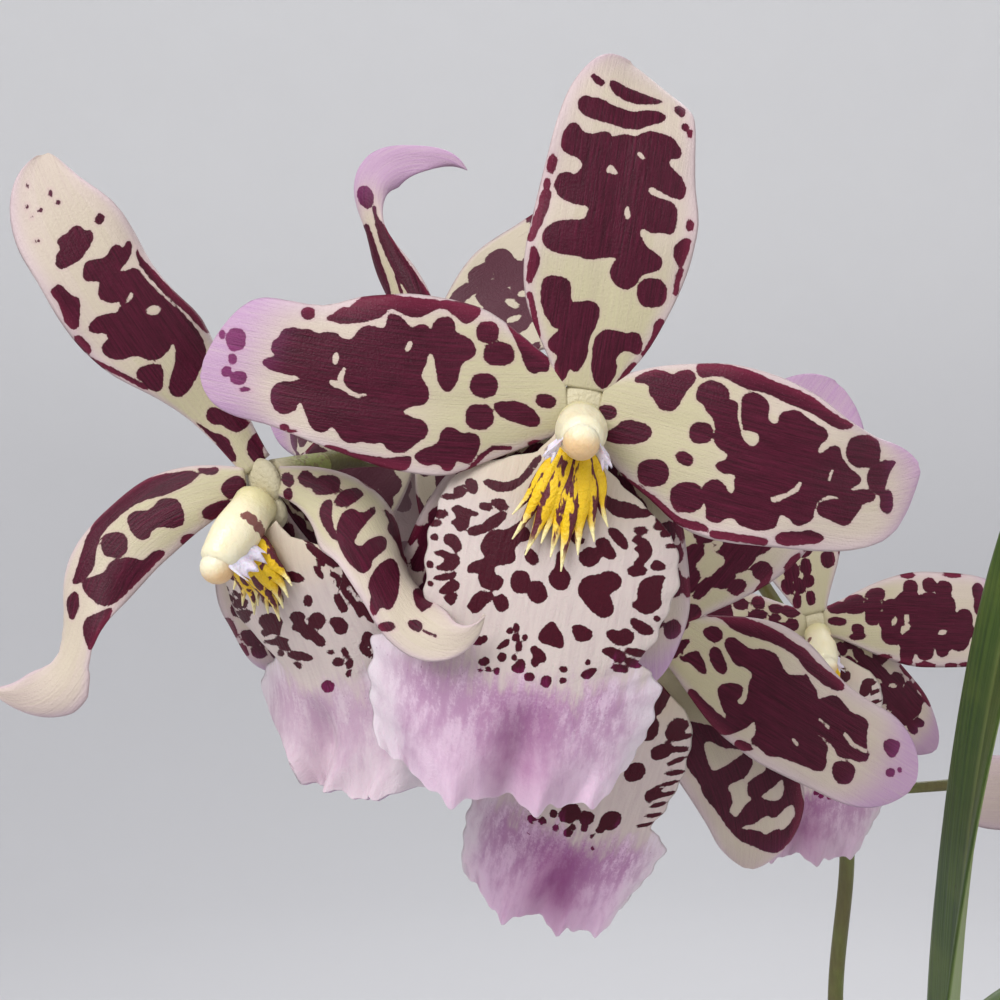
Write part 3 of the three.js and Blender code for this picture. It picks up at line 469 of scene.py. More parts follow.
def tepal_half(spec, s, v):
    """Half the width: a rise to the full width like a quarter sine, then a rounded fall to the tip."""
    rising = np.sin(np.pi / 2 * np.clip(s / spec["full"], 0, 1)) ** 1.3
    falling = np.clip((s - spec["full"]) / (1 - spec["full"]), 0, 1)
    shape = (spec["neck"] + (1 - spec["neck"]) * rising) * (1 - falling ** spec["blunt"]) ** spec["point"]
    return spec["wide"] / 2 * shape * np.where(v < 0, keyed(spec["left"], s), keyed(spec["right"], s))


def tepal_surface(spec, s, v):
    """The middle surface of a sepal or petal and its front direction."""
    line = blade_line(spec, heading(spec, 0.0) * TEPAL_ROOT)
    point, side, front = line(s)
    half = tepal_half(spec, s, v)
    reach, rise = bent(half, keyed(spec["cup"], s), v)
    ripple = (spec["wave"] * np.abs(v) ** 3 * smooth(0.1, 0.4, s)
              * np.sin(2 * np.pi * spec["waves"] * s + 1.3 * np.sign(v)))
    crease = -0.3 * np.exp(-((v * half / 2.2) ** 2)) * smooth(0.02, 0.2, s) * (1 - smooth(0.75, 1, s))
    return point + side * reach[..., None] + front * (rise + ripple + crease)[..., None], front


def blade_shell(surface, spec, thick, rows, columns, last=0.997):
    """A closed sheet with rounded margins: the front row of each ring, then the back row. The root
    ends in a pole and the last ring is closed from front to back. Returns points, faces, s, v and
    the face side (1 in front, -1 behind)."""
    s = last * (1 - (1 - np.linspace(0, 1, rows)) ** 1.4)
    v = np.linspace(-1, 1, columns + 1)
    across = np.concatenate([v, v[-2:0:-1]])
    face = np.concatenate([np.ones(columns + 1), -np.ones(columns - 1)])
    s, v = np.meshgrid(s, across, indexing="ij")
    face = np.broadcast_to(face, s.shape)
    middle, front = surface(spec, s, v)
    swell = face * thick / 2 * np.sqrt(np.clip(1 - v**6, 0, 1))
    rings = middle + front * swell[..., None]
    root = surface(spec, np.zeros(1), np.zeros(1))[0][0]
    points, faces = rings_closed(rings[:, ::-1], root, root)
    sides = 2 * columns
    corner = (rows - 1) * sides + sides - 1
    j = np.arange(1, columns - 1)
    hem = vectors(corner - j - 1, corner - j, corner - sides + j, corner - sides + j + 1)
    rims = np.array([[corner - 1, corner, corner - sides + 1],
                     [corner - columns, corner - columns + 1, corner - columns - 1]])
    reverse = (slice(None), slice(None, None, -1))
    s, v, face = (np.append(values[reverse].ravel(), end) for values, end in ((s, 0), (v, 0), (face, 1)))
    return points[:-1], [*faces[:2], hem, rims], s, v, face


def tube(line, radii, sides, ease=1.0):
    """A round body along a line of points. Its ends close over half a ball, flattened by ease. Returns
    points, faces, the share of the length and the turn round the line."""
    line = np.asarray(line, float)
    ahead = np.gradient(line, axis=0)
    ahead /= np.linalg.norm(ahead, axis=1, keepdims=True)
    reference = np.eye(3)[np.argmin(np.abs(ahead).max(0))]
    side = np.cross(ahead, reference)
    side /= np.linalg.norm(side, axis=1, keepdims=True)
    up = np.cross(ahead, side)
    s = np.linspace(0, 1, len(line))
    radius = keyed(radii, s)
    cap = np.sin(np.linspace(0.25, 1, 4) * np.pi / 2)
    back = np.cos(np.linspace(0.25, 1, 4) * np.pi / 2) * ease
    starts = line[0] - ahead[0] * radius[0] * back[:, None]
    stops = line[-1] + ahead[-1] * radius[-1] * back[::-1, None]
    centres = np.vstack([starts[:-1], line, stops[1:]])
    sizes = np.concatenate([radius[0] * cap[:-1], radius, radius[-1] * cap[::-1][1:]])
    pick = np.concatenate([np.zeros(3, int), np.arange(len(line)), np.full(3, len(line) - 1)])
    turn = np.linspace(0, 2 * np.pi, sides, endpoint=False)
    rings = (centres[:, None] + sizes[:, None, None] * (np.cos(turn)[:, None] * side[pick][:, None]
             + np.sin(turn)[:, None] * up[pick][:, None]))
    first = line[0] - ahead[0] * radius[0] * ease
    last = line[-1] + ahead[-1] * radius[-1] * ease
    points, faces = rings_closed(rings, first, last)
    held = np.concatenate([np.repeat(np.concatenate([np.zeros(3), s, np.ones(3)]), sides), [0, 1]])
    round_it = np.concatenate([np.tile(turn, len(rings)), [0, 0]])
    return points, faces, held, round_it


def ball(centre, radii, rows=16, sides=24):
    """A closed ball stretched along the three axes."""
    rise = np.linspace(-np.pi / 2, np.pi / 2, rows + 2)[1:-1, None]
    turn = np.linspace(0, 2 * np.pi, sides, endpoint=False)[None]
    ring = vectors(np.cos(rise) * np.cos(turn), np.cos(rise) * np.sin(turn), np.sin(rise))
    centre, radii = np.asarray(centre, float), np.asarray(radii, float)
    low, high = centre - [0, 0, radii[2]], centre + [0, 0, radii[2]]
    return rings_closed(centre + ring * radii, low, high)


# Markings on the blades: each blade carries a signed number at its vertices, in millimetres, which
# is positive inside a blotch and which the shader cuts crisply. Outlines (x, y, x, y, ...), rounded
# blots (x0, x1, y0, y1, turn) and strokes (width, point, point, ...) make the blotches. Holes, gaps
# and cuts have the same three forms and take away from them.
BLOT_POWER = 2.4
SOFTNESS = 0.08


def blot_depth(at, box):
    """How deep points lie in a rounded box (x0, x1, y0, y1, turn): (1 - r) * half the short side,
    with r the 2.4-norm of the place over the half sides."""
    x0, x1, y0, y1 = box[:4]
    turn = np.radians(box[4]) if len(box) > 4 else 0.0
    half = np.array([x1 - x0, y1 - y0]) / 2
    x, y = np.moveaxis(at - [(x0 + x1) / 2, (y0 + y1) / 2], -1, 0)
    along, aside = x * np.cos(turn) + y * np.sin(turn), y * np.cos(turn) - x * np.sin(turn)
    r = (np.abs(along / half[0]) ** BLOT_POWER + np.abs(aside / half[1]) ** BLOT_POWER) ** (1 / BLOT_POWER)
    return (1 - r) * half.min()


def outline_depth(at, corners):
    """How deep points lie in a closed outline whose corners are cut once by a quarter of each side:
    the distance to its nearest side, positive where a level ray crosses its sides an odd number of
    times."""
    corners = np.array(corners, float).reshape(-1, 2)
    after = np.roll(corners, -1, 0)
    corners = np.stack([0.75 * corners + 0.25 * after, 0.25 * corners + 0.75 * after], 1).reshape(-1, 2)
    run = np.roll(corners, -1, 0) - corners
    aside = at[:, None] - corners
    t = np.clip((aside * run).sum(-1) / (run * run).sum(-1), 0, 1)
    near = np.linalg.norm(aside - t[..., None] * run, axis=-1).min(1)
    below = aside[..., 1] < 0
    spans = below != (aside[..., 1] - run[:, 1] < 0)
    crosses = aside[..., 0] < aside[..., 1] / np.where(run[:, 1] == 0, 1, run[:, 1]) * run[:, 0]
    return np.where((spans & crosses).sum(1) % 2 == 1, near, -near)


def stroke_depth(at, stroke):
    """How deep points lie in a band (width, point, point, ...): half the width less the distance."""
    width, *corners = stroke
    corners = np.array(corners, float)
    near = np.full(at.shape[:-1], np.inf)
    for start, stop in zip(corners[:-1], corners[1:]):
        run = stop - start
        t = np.clip(((at - start) @ run) / (run @ run), 0, 1)
        near = np.minimum(near, np.linalg.norm(at - start - t[..., None] * run, axis=-1))
    return width / 2 - near


def blended(depths, soft):
    """A smooth largest value: soft * log(sum(exp(depth / soft)))."""
    return soft * np.log(np.sum(np.exp(np.clip(np.array(depths) / soft, -60, 60)), 0))


def marks_depth(at, marks, scale):
    """The signed number of a set of marks at places whose unit is 1/scale millimetres."""
    soft = SOFTNESS * scale
    depths = [outline_depth(at, corners) for corners in marks.get("outlines", [])]
    depths += [blot_depth(at, box) for box in marks.get("blots", [])]
    depths += [stroke_depth(at, stroke) for stroke in marks.get("strokes", [])]
    gaps = [blot_depth(at, box) for box in marks.get("gaps", [])]
    gaps += [outline_depth(at, corners) for corners in marks.get("holes", [])]
    gaps += [stroke_depth(at, stroke) for stroke in marks.get("cuts", [])]
    depth = blended(depths, soft)
    if gaps:
        depth = -blended([-depth, *gaps], soft)
    return np.clip(depth / scale, -3, 3)


def in_picture(points):
    """Where points appear in the picture, in thousandths of its side from the left and the top:
    (500, 500) + scale * (x, -z) / y, measured from the camera."""
    x, y, z = np.moveaxis(points - CAMERA_PLACE, -1, 0)
    return np.stack([500 + PICTURE_SCALE * x / y, 500 - PICTURE_SCALE * z / y], -1)


def picture_depth(bloom, points, marks):
    """The signed number at points of a bloom, for marks that are placed in the picture."""
    away = BLOOM_PLACES[bloom]["at"][1] - CAMERA_PLACE[1]
    return marks_depth(in_picture(points), marks, PICTURE_SCALE / away)


# The marks of the blades that face the viewer, in thousandths of the picture's side. An
# outline is drawn through its corners, x and y in turn.
PICTURE_MARKS = {}
PICTURE_MARKS["a", "dorsal"] = dict(
    outlines=[
        (571, 122, 577, 122, 582, 130, 590, 134, 600, 132, 608, 131, 613, 137, 618, 135, 628, 134, 637,
         137, 642, 132, 653, 131, 664, 134, 673, 138, 679, 145, 682, 152, 680, 159, 670, 159, 669, 165,
         677, 172, 684, 180, 687, 192, 683, 200, 674, 199, 662, 193, 650, 186, 647, 191, 656, 197, 668,
         200, 676, 205, 678, 216, 676, 229, 671, 236, 662, 233, 653, 234, 645, 229, 640, 229, 641, 238,
         648, 248, 657, 253, 663, 261, 661, 270, 650, 273, 641, 276, 637, 284, 629, 290, 620, 289, 612,
         281, 609, 272, 612, 264, 618, 257, 604, 258, 590, 260, 576, 256, 560, 254, 548, 250, 541, 240,
         544, 229, 553, 222, 566, 219, 584, 220, 588, 212, 588, 206, 576, 205, 563, 200, 555, 192, 554,
         182, 558, 174, 568, 171, 575, 175, 583, 167, 579, 158, 569, 155, 561, 149, 561, 138, 565, 129),
        (577, 102, 584, 94, 592, 97, 602, 98, 612, 105, 622, 108, 632, 112, 644, 110, 660, 111, 667, 116,
         664, 122, 650, 126, 638, 130, 624, 129, 611, 124, 600, 121, 588, 118, 580, 112),
        (590, 76, 594, 73, 600, 77, 606, 82, 603, 87, 597, 85, 593, 80),
        (609, 80, 616, 80, 626, 87, 638, 92, 652, 97, 664, 101, 660, 104, 646, 105, 633, 104, 620, 98,
         611, 91),
        (673, 109, 679, 104, 687, 111, 683, 119, 676, 114),
        (541, 280, 549, 275, 561, 276, 569, 280, 572, 290, 571, 303, 580, 301, 590, 300, 599, 305, 600,
         316, 595, 328, 589, 340, 588, 354, 583, 366, 576, 373, 569, 369, 566, 378, 561, 383, 556, 377,
         554, 366, 558, 356, 552, 352, 547, 346, 549, 338, 560, 329, 553, 328, 545, 316, 540, 300),
        (592, 352, 593, 342, 598, 333, 607, 329, 617, 330, 626, 334, 634, 331, 641, 335, 643, 347, 638,
         357, 631, 352, 622, 351, 616, 358, 617, 371, 613, 380, 605, 390, 597, 387, 591, 374),
        (676, 243, 684, 238, 692, 239, 690, 249, 686, 260, 680, 272, 676, 262, 672, 253),
        (531, 243, 537, 248, 541, 261, 536, 274, 530, 286, 526, 280, 528, 262),
        (654, 321, 664, 317, 658, 331, 651, 340)],
    blots=[
        (637, 667, 278, 308), (547, 557, 154, 174, 10), (543, 551, 178, 190), (686, 694, 219, 232),
        (681, 690, 124, 131, 40), (687, 693, 129, 138)],
    strokes=[
        (11, (546, 194), (543, 208), (537, 222)), (8, (536, 226), (531, 238)),
        (6, (530, 294), (534, 314), (538, 336)), (6, (681, 270), (677, 282), (676, 293)),
        (6, (662, 322), (651, 344), (644, 355)), (7, (634, 365), (626, 374), (619, 384))],
    holes=[
        (605, 171, 609, 164, 614, 166, 619, 175, 611, 174),
        (636, 153, 641, 151, 646, 160, 641, 159),
        (624, 211, 628, 204, 631, 216, 626, 222)])
PICTURE_MARKS["a", "left_petal"] = dict(
    outlines=[
        (281, 330, 291, 327, 302, 329, 311, 329, 318, 334, 326, 331, 336, 332, 342, 338, 351, 340, 356,
         333, 363, 326, 372, 325, 379, 328, 386, 327, 386, 317, 391, 313, 399, 315, 406, 321, 412, 329,
         418, 324, 426, 324, 432, 331, 433, 322, 440, 317, 450, 316, 455, 323, 456, 333, 464, 335, 472,
         340, 477, 349, 474, 358, 464, 361, 460, 370, 458, 381, 452, 391, 444, 392, 438, 384, 436, 370,
         434, 356, 429, 353, 427, 363, 421, 374, 423, 380, 430, 391, 429, 401, 422, 406, 410, 407, 402,
         413, 412, 417, 424, 420, 429, 428, 427, 437, 418, 443, 408, 451, 396, 454, 387, 450, 383, 443,
         372, 444, 360, 442, 350, 444, 341, 440, 337, 431, 331, 426, 328, 432, 317, 433, 310, 426, 305,
         414, 301, 402, 298, 405, 295, 411, 286, 415, 277, 413, 271, 404, 270, 392, 274, 384, 284, 381,
         299, 380, 302, 377, 288, 375, 274, 372, 260, 363, 266, 358, 276, 356, 270, 350, 272, 341, 280,
         337),
        (324, 319, 332, 314, 342, 307, 351, 307, 359, 298, 370, 294, 386, 293, 402, 296, 420, 298, 437,
         300, 453, 300, 468, 303, 483, 308, 480, 315, 472, 322, 464, 325, 457, 318, 449, 311, 441, 308,
         432, 312, 420, 318, 408, 317, 398, 311, 389, 308, 383, 317, 370, 321, 356, 323, 344, 325, 332,
         322),
        (504, 320, 512, 323, 522, 330, 534, 336, 543, 346, 551, 363, 548, 372, 540, 372, 534, 375, 526,
         370, 522, 358, 519, 348, 512, 334),
        (440, 433, 447, 426, 455, 428, 462, 433, 472, 432, 481, 437, 480, 448, 474, 460, 466, 465, 456,
         459, 456, 466, 450, 472, 443, 470, 437, 464, 424, 466, 413, 458, 416, 452, 430, 446, 439, 442),
        (322, 446, 332, 444, 346, 450, 362, 455, 380, 457, 396, 458, 406, 455, 412, 457, 411, 466, 404,
         472, 390, 471, 372, 464, 352, 458, 334, 454),
        (492, 404, 503, 401, 518, 401, 530, 406, 538, 414, 541, 422, 536, 428, 524, 426, 510, 421, 498,
         416)],
    blots=[
        (476, 499, 321, 343), (483, 515, 342, 366), (470, 498, 373, 398), (465, 494, 404, 430),
        (535, 557, 394, 408, 10), (528, 544, 440, 449, 10), (301, 315, 307, 320), (226, 246, 328, 351),
        (228, 237, 354, 365), (221, 232, 366, 377), (230, 247, 371, 385), (219, 225, 330, 339),
        (240, 251, 387, 392), (279, 289, 424, 431), (286, 297, 429, 433)],
    strokes=[
        (5, (455, 477), (470, 470), (480, 458), (492, 448), (510, 448))],
    holes=[
        (327, 381, 336, 380, 347, 387, 356, 394, 371, 393, 361, 399, 350, 395, 341, 389, 333, 387),
        (336, 381, 342, 367, 347, 367, 344, 376, 343, 386),
        (332, 355, 338, 352, 339, 362, 333, 366),
        (403, 352, 409, 340, 414, 342, 409, 352)])
PICTURE_MARKS["a", "right_petal"] = dict(
    outlines=[
        (695, 394, 699, 384, 708, 380, 718, 381, 726, 386, 730, 393, 728, 399, 736, 401, 740, 404, 744,
         394, 753, 392, 764, 396, 770, 405, 768, 418, 773, 424, 778, 423, 779, 415, 787, 410, 799, 410,
         806, 417, 816, 423, 828, 430, 828, 439, 820, 446, 817, 453, 824, 452, 832, 445, 841, 447, 841,
         455, 847, 464, 852, 470, 862, 477, 862, 483, 852, 488, 850, 492, 862, 488, 872, 491, 877, 496,
         872, 502, 864, 503, 859, 512, 852, 521, 845, 527, 837, 524, 830, 520, 820, 517, 816, 509, 819,
         502, 828, 500, 842, 499, 830, 495, 819, 500, 815, 508, 813, 520, 804, 525, 795, 526, 788, 518,
         781, 514, 778, 520, 776, 528, 766, 531, 752, 530, 740, 526, 733, 518, 724, 519, 719, 524, 711,
         523, 705, 517, 706, 506, 702, 497, 701, 488, 706, 482, 714, 479, 722, 481, 727, 488, 731, 495,
         735, 488, 733, 480, 737, 475, 724, 474, 716, 469, 715, 463, 727, 459, 728, 454, 719, 449, 713,
         441, 716, 430, 714, 420, 706, 411, 704, 405, 696, 400),
        (633, 382, 637, 376, 646, 372, 656, 369, 666, 371, 673, 375, 681, 370, 691, 370, 697, 376, 694,
         384, 686, 392, 681, 403, 674, 411, 664, 412, 656, 406, 655, 400, 649, 395, 648, 384),
        (694, 365, 706, 363, 720, 363, 738, 366, 758, 373, 774, 381, 790, 387, 806, 393, 819, 401, 831,
         411, 842, 418, 855, 424, 850, 430, 840, 430, 828, 424, 814, 415, 802, 409, 788, 404, 776, 398,
         762, 392, 748, 390, 736, 384, 724, 377, 710, 376, 700, 379),
        (604, 440, 608, 431, 616, 427, 622, 420, 634, 420, 651, 426, 652, 435, 646, 442, 630, 445, 612,
         443),
        (866, 476, 870, 468, 881, 460, 898, 460, 891, 470, 887, 482, 882, 497, 874, 493, 867, 485),
        (610, 472, 621, 472, 632, 481, 645, 490, 657, 497, 669, 509, 680, 518, 694, 521, 707, 525, 710,
         532, 698, 531, 682, 527, 670, 520, 657, 509, 642, 502, 628, 494, 617, 483),
        (773, 540, 779, 532, 790, 531, 800, 532, 808, 529, 818, 533, 826, 538, 818, 544, 806, 545, 790,
         546, 780, 545)],
    blots=[
        (689, 713, 422, 444), (596, 617, 405, 420), (675, 694, 452, 465, 30), (637, 669, 459, 487),
        (670, 704, 482, 513), (846, 881, 435, 468), (880, 893, 490, 514)],
    strokes=[
        (8, (713, 534), (738, 538), (764, 542))],
    holes=[
        (741, 431, 748, 430, 757, 433, 760, 441, 752, 448, 744, 441),
        (769, 501, 779, 497, 789, 492, 800, 483, 797, 491, 787, 498, 777, 503)],
    cuts=[
        (3, (740, 403), (739, 418), (743, 434)), (4, (772, 499), (786, 495), (796, 491), (800, 484)),
        (3, (832, 471), (829, 480))])
PICTURE_MARKS["a", "lip"] = dict(
    outlines=[
        (482, 481, 489, 479, 501, 483, 515, 481, 526, 472, 533, 460, 539, 454, 542, 459, 534, 470, 525,
         481, 515, 489, 504, 492, 492, 490),
        (464, 484, 470, 477, 476, 481, 478, 487, 476, 494, 470, 494),
        (490, 501, 497, 498, 504, 500, 507, 505, 510, 508, 500, 511),
        (450, 508, 458, 505, 465, 508, 479, 513, 476, 516, 469, 515, 470, 521, 466, 530, 459, 532, 455,
         526, 450, 522, 458, 518, 455, 513),
        (466, 533, 471, 527, 482, 525, 490, 517, 500, 512, 507, 512, 504, 521, 496, 527, 486, 532, 475,
         536),
        (480, 549, 482, 540, 489, 533, 498, 529, 506, 531, 515, 525, 524, 519, 526, 524, 521, 532, 523,
         538, 516, 546, 514, 553, 516, 559, 510, 564, 494, 565, 494, 574, 503, 578, 503, 586, 494, 591,
         483, 588, 478, 580, 479, 572, 468, 573, 467, 568, 474, 561, 487, 559),
        (443, 542, 445, 534, 453, 534, 459, 538, 462, 549, 456, 553, 452, 547),
        (432, 553, 441, 550, 450, 553, 459, 556, 460, 564, 452, 571, 434, 569, 444, 563, 445, 558),
        (432, 577, 446, 574, 457, 572, 455, 578, 440, 581),
        (438, 592, 446, 583, 455, 579, 460, 585, 457, 591, 446, 594),
        (442, 598, 450, 594, 458, 592, 454, 607),
        (467, 606, 472, 598, 480, 590, 486, 593, 492, 592, 493, 597, 486, 605, 474, 615, 470, 609),
        (548, 581, 551, 572, 556, 567, 557, 552, 561, 551, 563, 568, 569, 573, 571, 581, 565, 590, 556,
         590),
        (570, 541, 573, 530, 579, 537, 586, 540, 581, 545),
        (579, 560, 580, 552, 588, 547, 598, 549, 602, 557, 596, 565, 586, 567),
        (595, 545, 599, 538, 606, 538, 612, 547, 617, 556, 611, 560, 602, 555),
        (607, 531, 612, 527, 620, 531, 625, 538, 629, 547, 625, 550, 616, 543),
        (588, 462, 593, 466, 598, 481, 604, 493, 613, 500, 634, 504, 642, 510, 653, 509, 652, 515, 640,
         518, 622, 518, 611, 513, 602, 502, 596, 488),
        (630, 540, 637, 536, 646, 539, 653, 548, 651, 557, 641, 566, 632, 564, 640, 557, 639, 552, 633,
         548, 641, 545),
        (649, 568, 655, 559, 662, 562, 667, 569, 657, 571),
        (578, 593, 579, 584, 586, 576, 598, 575, 607, 571, 616, 573, 622, 580, 620, 588, 608, 594, 612,
         601, 614, 611, 607, 618, 599, 617, 588, 607),
        (640, 582, 650, 576, 667, 576, 662, 583, 660, 598, 662, 606, 650, 614, 642, 614, 630, 604, 638,
         600, 637, 592),
        (629, 620, 636, 618, 656, 630, 648, 636, 636, 631),
        (605, 633, 611, 629, 620, 632, 625, 627, 636, 636, 630, 644, 620, 646, 611, 641),
        (600, 650, 609, 647, 618, 649, 628, 658, 619, 664, 610, 657),
        (538, 641, 540, 632, 547, 625, 552, 621, 558, 627, 564, 641, 562, 649, 553, 646),
        (571, 629, 576, 624, 586, 627, 593, 633, 590, 640, 577, 642),
        (511, 669, 515, 663, 521, 659, 525, 662, 525, 670, 518, 674),
        (530, 650, 533, 645, 544, 652, 547, 661, 539, 663, 535, 668, 530, 662, 534, 656),
        (580, 674, 588, 669, 598, 668, 592, 676, 585, 680),
        (464, 641, 467, 633, 475, 634, 480, 638, 487, 634, 487, 641, 478, 646),
        (495, 650, 500, 644, 508, 638, 509, 646)],
    blots=[
        (454, 465, 486, 497, -30), (443, 456, 494, 499), (480, 492, 503, 510, 20), (435, 447, 510, 518),
        (430, 441, 520, 526), (431, 438, 534, 540), (427, 433, 561, 568), (428, 433, 581, 586),
        (516, 530, 528, 541, -30), (494, 508, 595, 611, -30), (511, 530, 571, 593),
        (528, 546, 581, 603, -25), (526, 537, 549, 565, -35), (656, 667, 515, 522, -20),
        (654, 668, 523, 530), (634, 648, 527, 534), (661, 671, 531, 537), (667, 677, 544, 548),
        (628, 646, 566, 576), (626, 648, 649, 656, 12), (625, 641, 659, 667, 20),
        (612, 627, 665, 672, 10), (498, 506, 653, 661, -40), (479, 489, 658, 665, -20),
        (525, 534, 673, 681, 20), (541, 551, 676, 687, 30), (516, 522, 641, 651), (507, 513, 628, 634),
        (514, 519, 624, 632), (512, 519, 634, 641), (560, 567, 666, 672), (486, 491, 667, 672),
        (494, 499, 668, 674), (478, 482, 668, 672), (512, 516, 655, 660), (523, 527, 635, 640),
        (586, 590, 660, 665), (654, 660, 616, 621), (560, 566, 678, 683)])
PICTURE_MARKS["b", "dorsal"] = dict(
    outlines=[
        (108, 253, 113, 245, 119, 245, 123, 249, 127, 240, 132, 242, 132, 252, 128, 261, 118, 273, 126,
         270, 136, 267, 144, 276, 155, 289, 168, 301, 182, 312, 195, 326, 204, 341, 208, 354, 201, 368,
         195, 382, 185, 396, 175, 398, 168, 391, 170, 379, 175, 364, 176, 350, 173, 342, 168, 352, 160,
         359, 148, 361, 140, 356, 131, 357, 120, 361, 108, 358, 101, 351, 103, 343, 110, 337, 104, 333,
         94, 334, 87, 330, 91, 321, 102, 314, 118, 313, 120, 305, 130, 301, 134, 296, 131, 290, 127, 300,
         114, 304, 101, 301, 97, 292, 101, 281, 92, 282, 84, 281, 82, 271, 85, 262, 94, 259, 104, 258),
        (56, 240, 62, 236, 69, 232, 71, 227, 79, 225, 85, 230, 92, 230, 94, 238, 91, 246, 86, 251, 83,
         258, 72, 265, 60, 271, 55, 264, 56, 255, 61, 250),
        (49, 293, 54, 286, 60, 283, 67, 291, 73, 296, 80, 298, 81, 308, 79, 318, 80, 328, 73, 331, 66,
         325, 62, 314, 58, 302),
        (72, 337, 80, 334, 92, 347, 91, 354, 84, 353, 76, 345),
        (134, 375, 141, 366, 152, 364, 163, 364, 164, 378, 162, 391, 154, 393, 145, 385),
        (135, 244, 141, 257, 152, 268, 166, 284, 180, 296, 196, 307, 216, 323, 212, 333, 204, 333, 192,
         318, 178, 306, 162, 292, 148, 276, 137, 262),
        (205, 415, 210, 406, 218, 408, 230, 414, 242, 417, 252, 421, 246, 428, 239, 433, 230, 431, 220,
         424, 210, 425),
        (192, 419, 202, 425, 213, 433, 226, 435, 232, 446, 238, 462, 229, 462, 220, 448, 208, 435),
        (246, 447, 250, 437, 259, 431, 267, 434, 266, 441, 262, 450, 266, 460, 258, 465, 249, 458)],
    blots=[
        (48, 53, 189, 197), (55, 61, 200, 205), (37, 43, 208, 213), (26, 29, 183, 188),
        (25, 29, 204, 210), (34, 40, 239, 243), (30, 33, 215, 219), (95, 104, 213, 225, 30)],
    strokes=[
        (5, (90, 359), (104, 366), (122, 375), (146, 388))],
    gaps=[
        (146, 161, 306, 315, -10)])
PICTURE_MARKS["b", "left_petal"] = dict(
    outlines=[
        (201, 473, 190, 470, 174, 472, 156, 475, 142, 480, 128, 489, 114, 499, 102, 511, 93, 524, 85, 540,
         80, 556, 76, 570, 71, 583, 78, 585, 88, 577, 95, 567, 96, 550, 102, 534, 114, 521, 128, 509, 142,
         501, 158, 497, 174, 492, 190, 484),
        (193, 467, 206, 468, 220, 466, 218, 474, 206, 476),
        (126, 518, 132, 511, 145, 511, 152, 508, 158, 500, 170, 497, 180, 501, 184, 512, 185, 523, 176,
         529, 160, 527, 151, 531, 150, 539, 141, 541, 131, 534),
        (82, 590, 83, 580, 94, 576, 104, 573, 109, 562, 120, 558, 132, 557, 143, 561, 152, 552, 161, 549,
         167, 553, 156, 564, 142, 578, 128, 592, 114, 605, 100, 606, 90, 598),
        (82, 626, 87, 616, 98, 613, 112, 606, 113, 613, 106, 627, 97, 638, 90, 653, 85, 641),
        (66, 607, 68, 596, 76, 590, 80, 600, 77, 615, 71, 623)],
    blots=[
        (221, 247, 477, 498, -35), (201, 235, 502, 518, -20), (101, 128, 532, 558),
        (180, 196, 534, 545, -20)])
PICTURE_MARKS["b", "right_petal"] = dict(
    outlines=[
        (282, 457, 292, 451, 304, 448, 330, 452, 352, 459, 372, 465, 383, 476, 388, 489, 378, 492, 364,
         485, 354, 475, 338, 470, 318, 467, 300, 460),
        (334, 505, 337, 494, 347, 488, 359, 488, 366, 494, 354, 503, 343, 508),
        (319, 508, 325, 500, 333, 500, 332, 514, 333, 526, 340, 538, 335, 542, 326, 531, 320, 520),
        (338, 520, 344, 510, 353, 508, 362, 514, 374, 505, 377, 512, 368, 521, 361, 530, 353, 542, 360,
         547, 368, 540, 378, 535, 387, 538, 387, 549, 374, 558, 370, 570, 362, 575, 350, 565, 340, 550,
         336, 534),
        (373, 573, 381, 562, 392, 557, 399, 565, 400, 582, 397, 600, 390, 612, 381, 606, 375, 618, 369,
         610, 371, 594, 367, 584),
        (380, 508, 389, 511, 396, 520, 402, 532, 407, 548, 408, 566, 402, 559, 398, 545, 391, 535, 386,
         528, 390, 521),
        (411, 592, 418, 587, 428, 592, 435, 600, 430, 608, 419, 613),
        (406, 624, 412, 619, 421, 621, 424, 628, 417, 634)],
    blots=[
        (268, 277, 476, 488), (282, 294, 472, 487, -30), (283, 293, 488, 500), (299, 314, 470, 488, -40),
        (311, 341, 475, 495, -10), (377, 396, 622, 632)],
    strokes=[
        (3, (423, 631), (436, 636))])
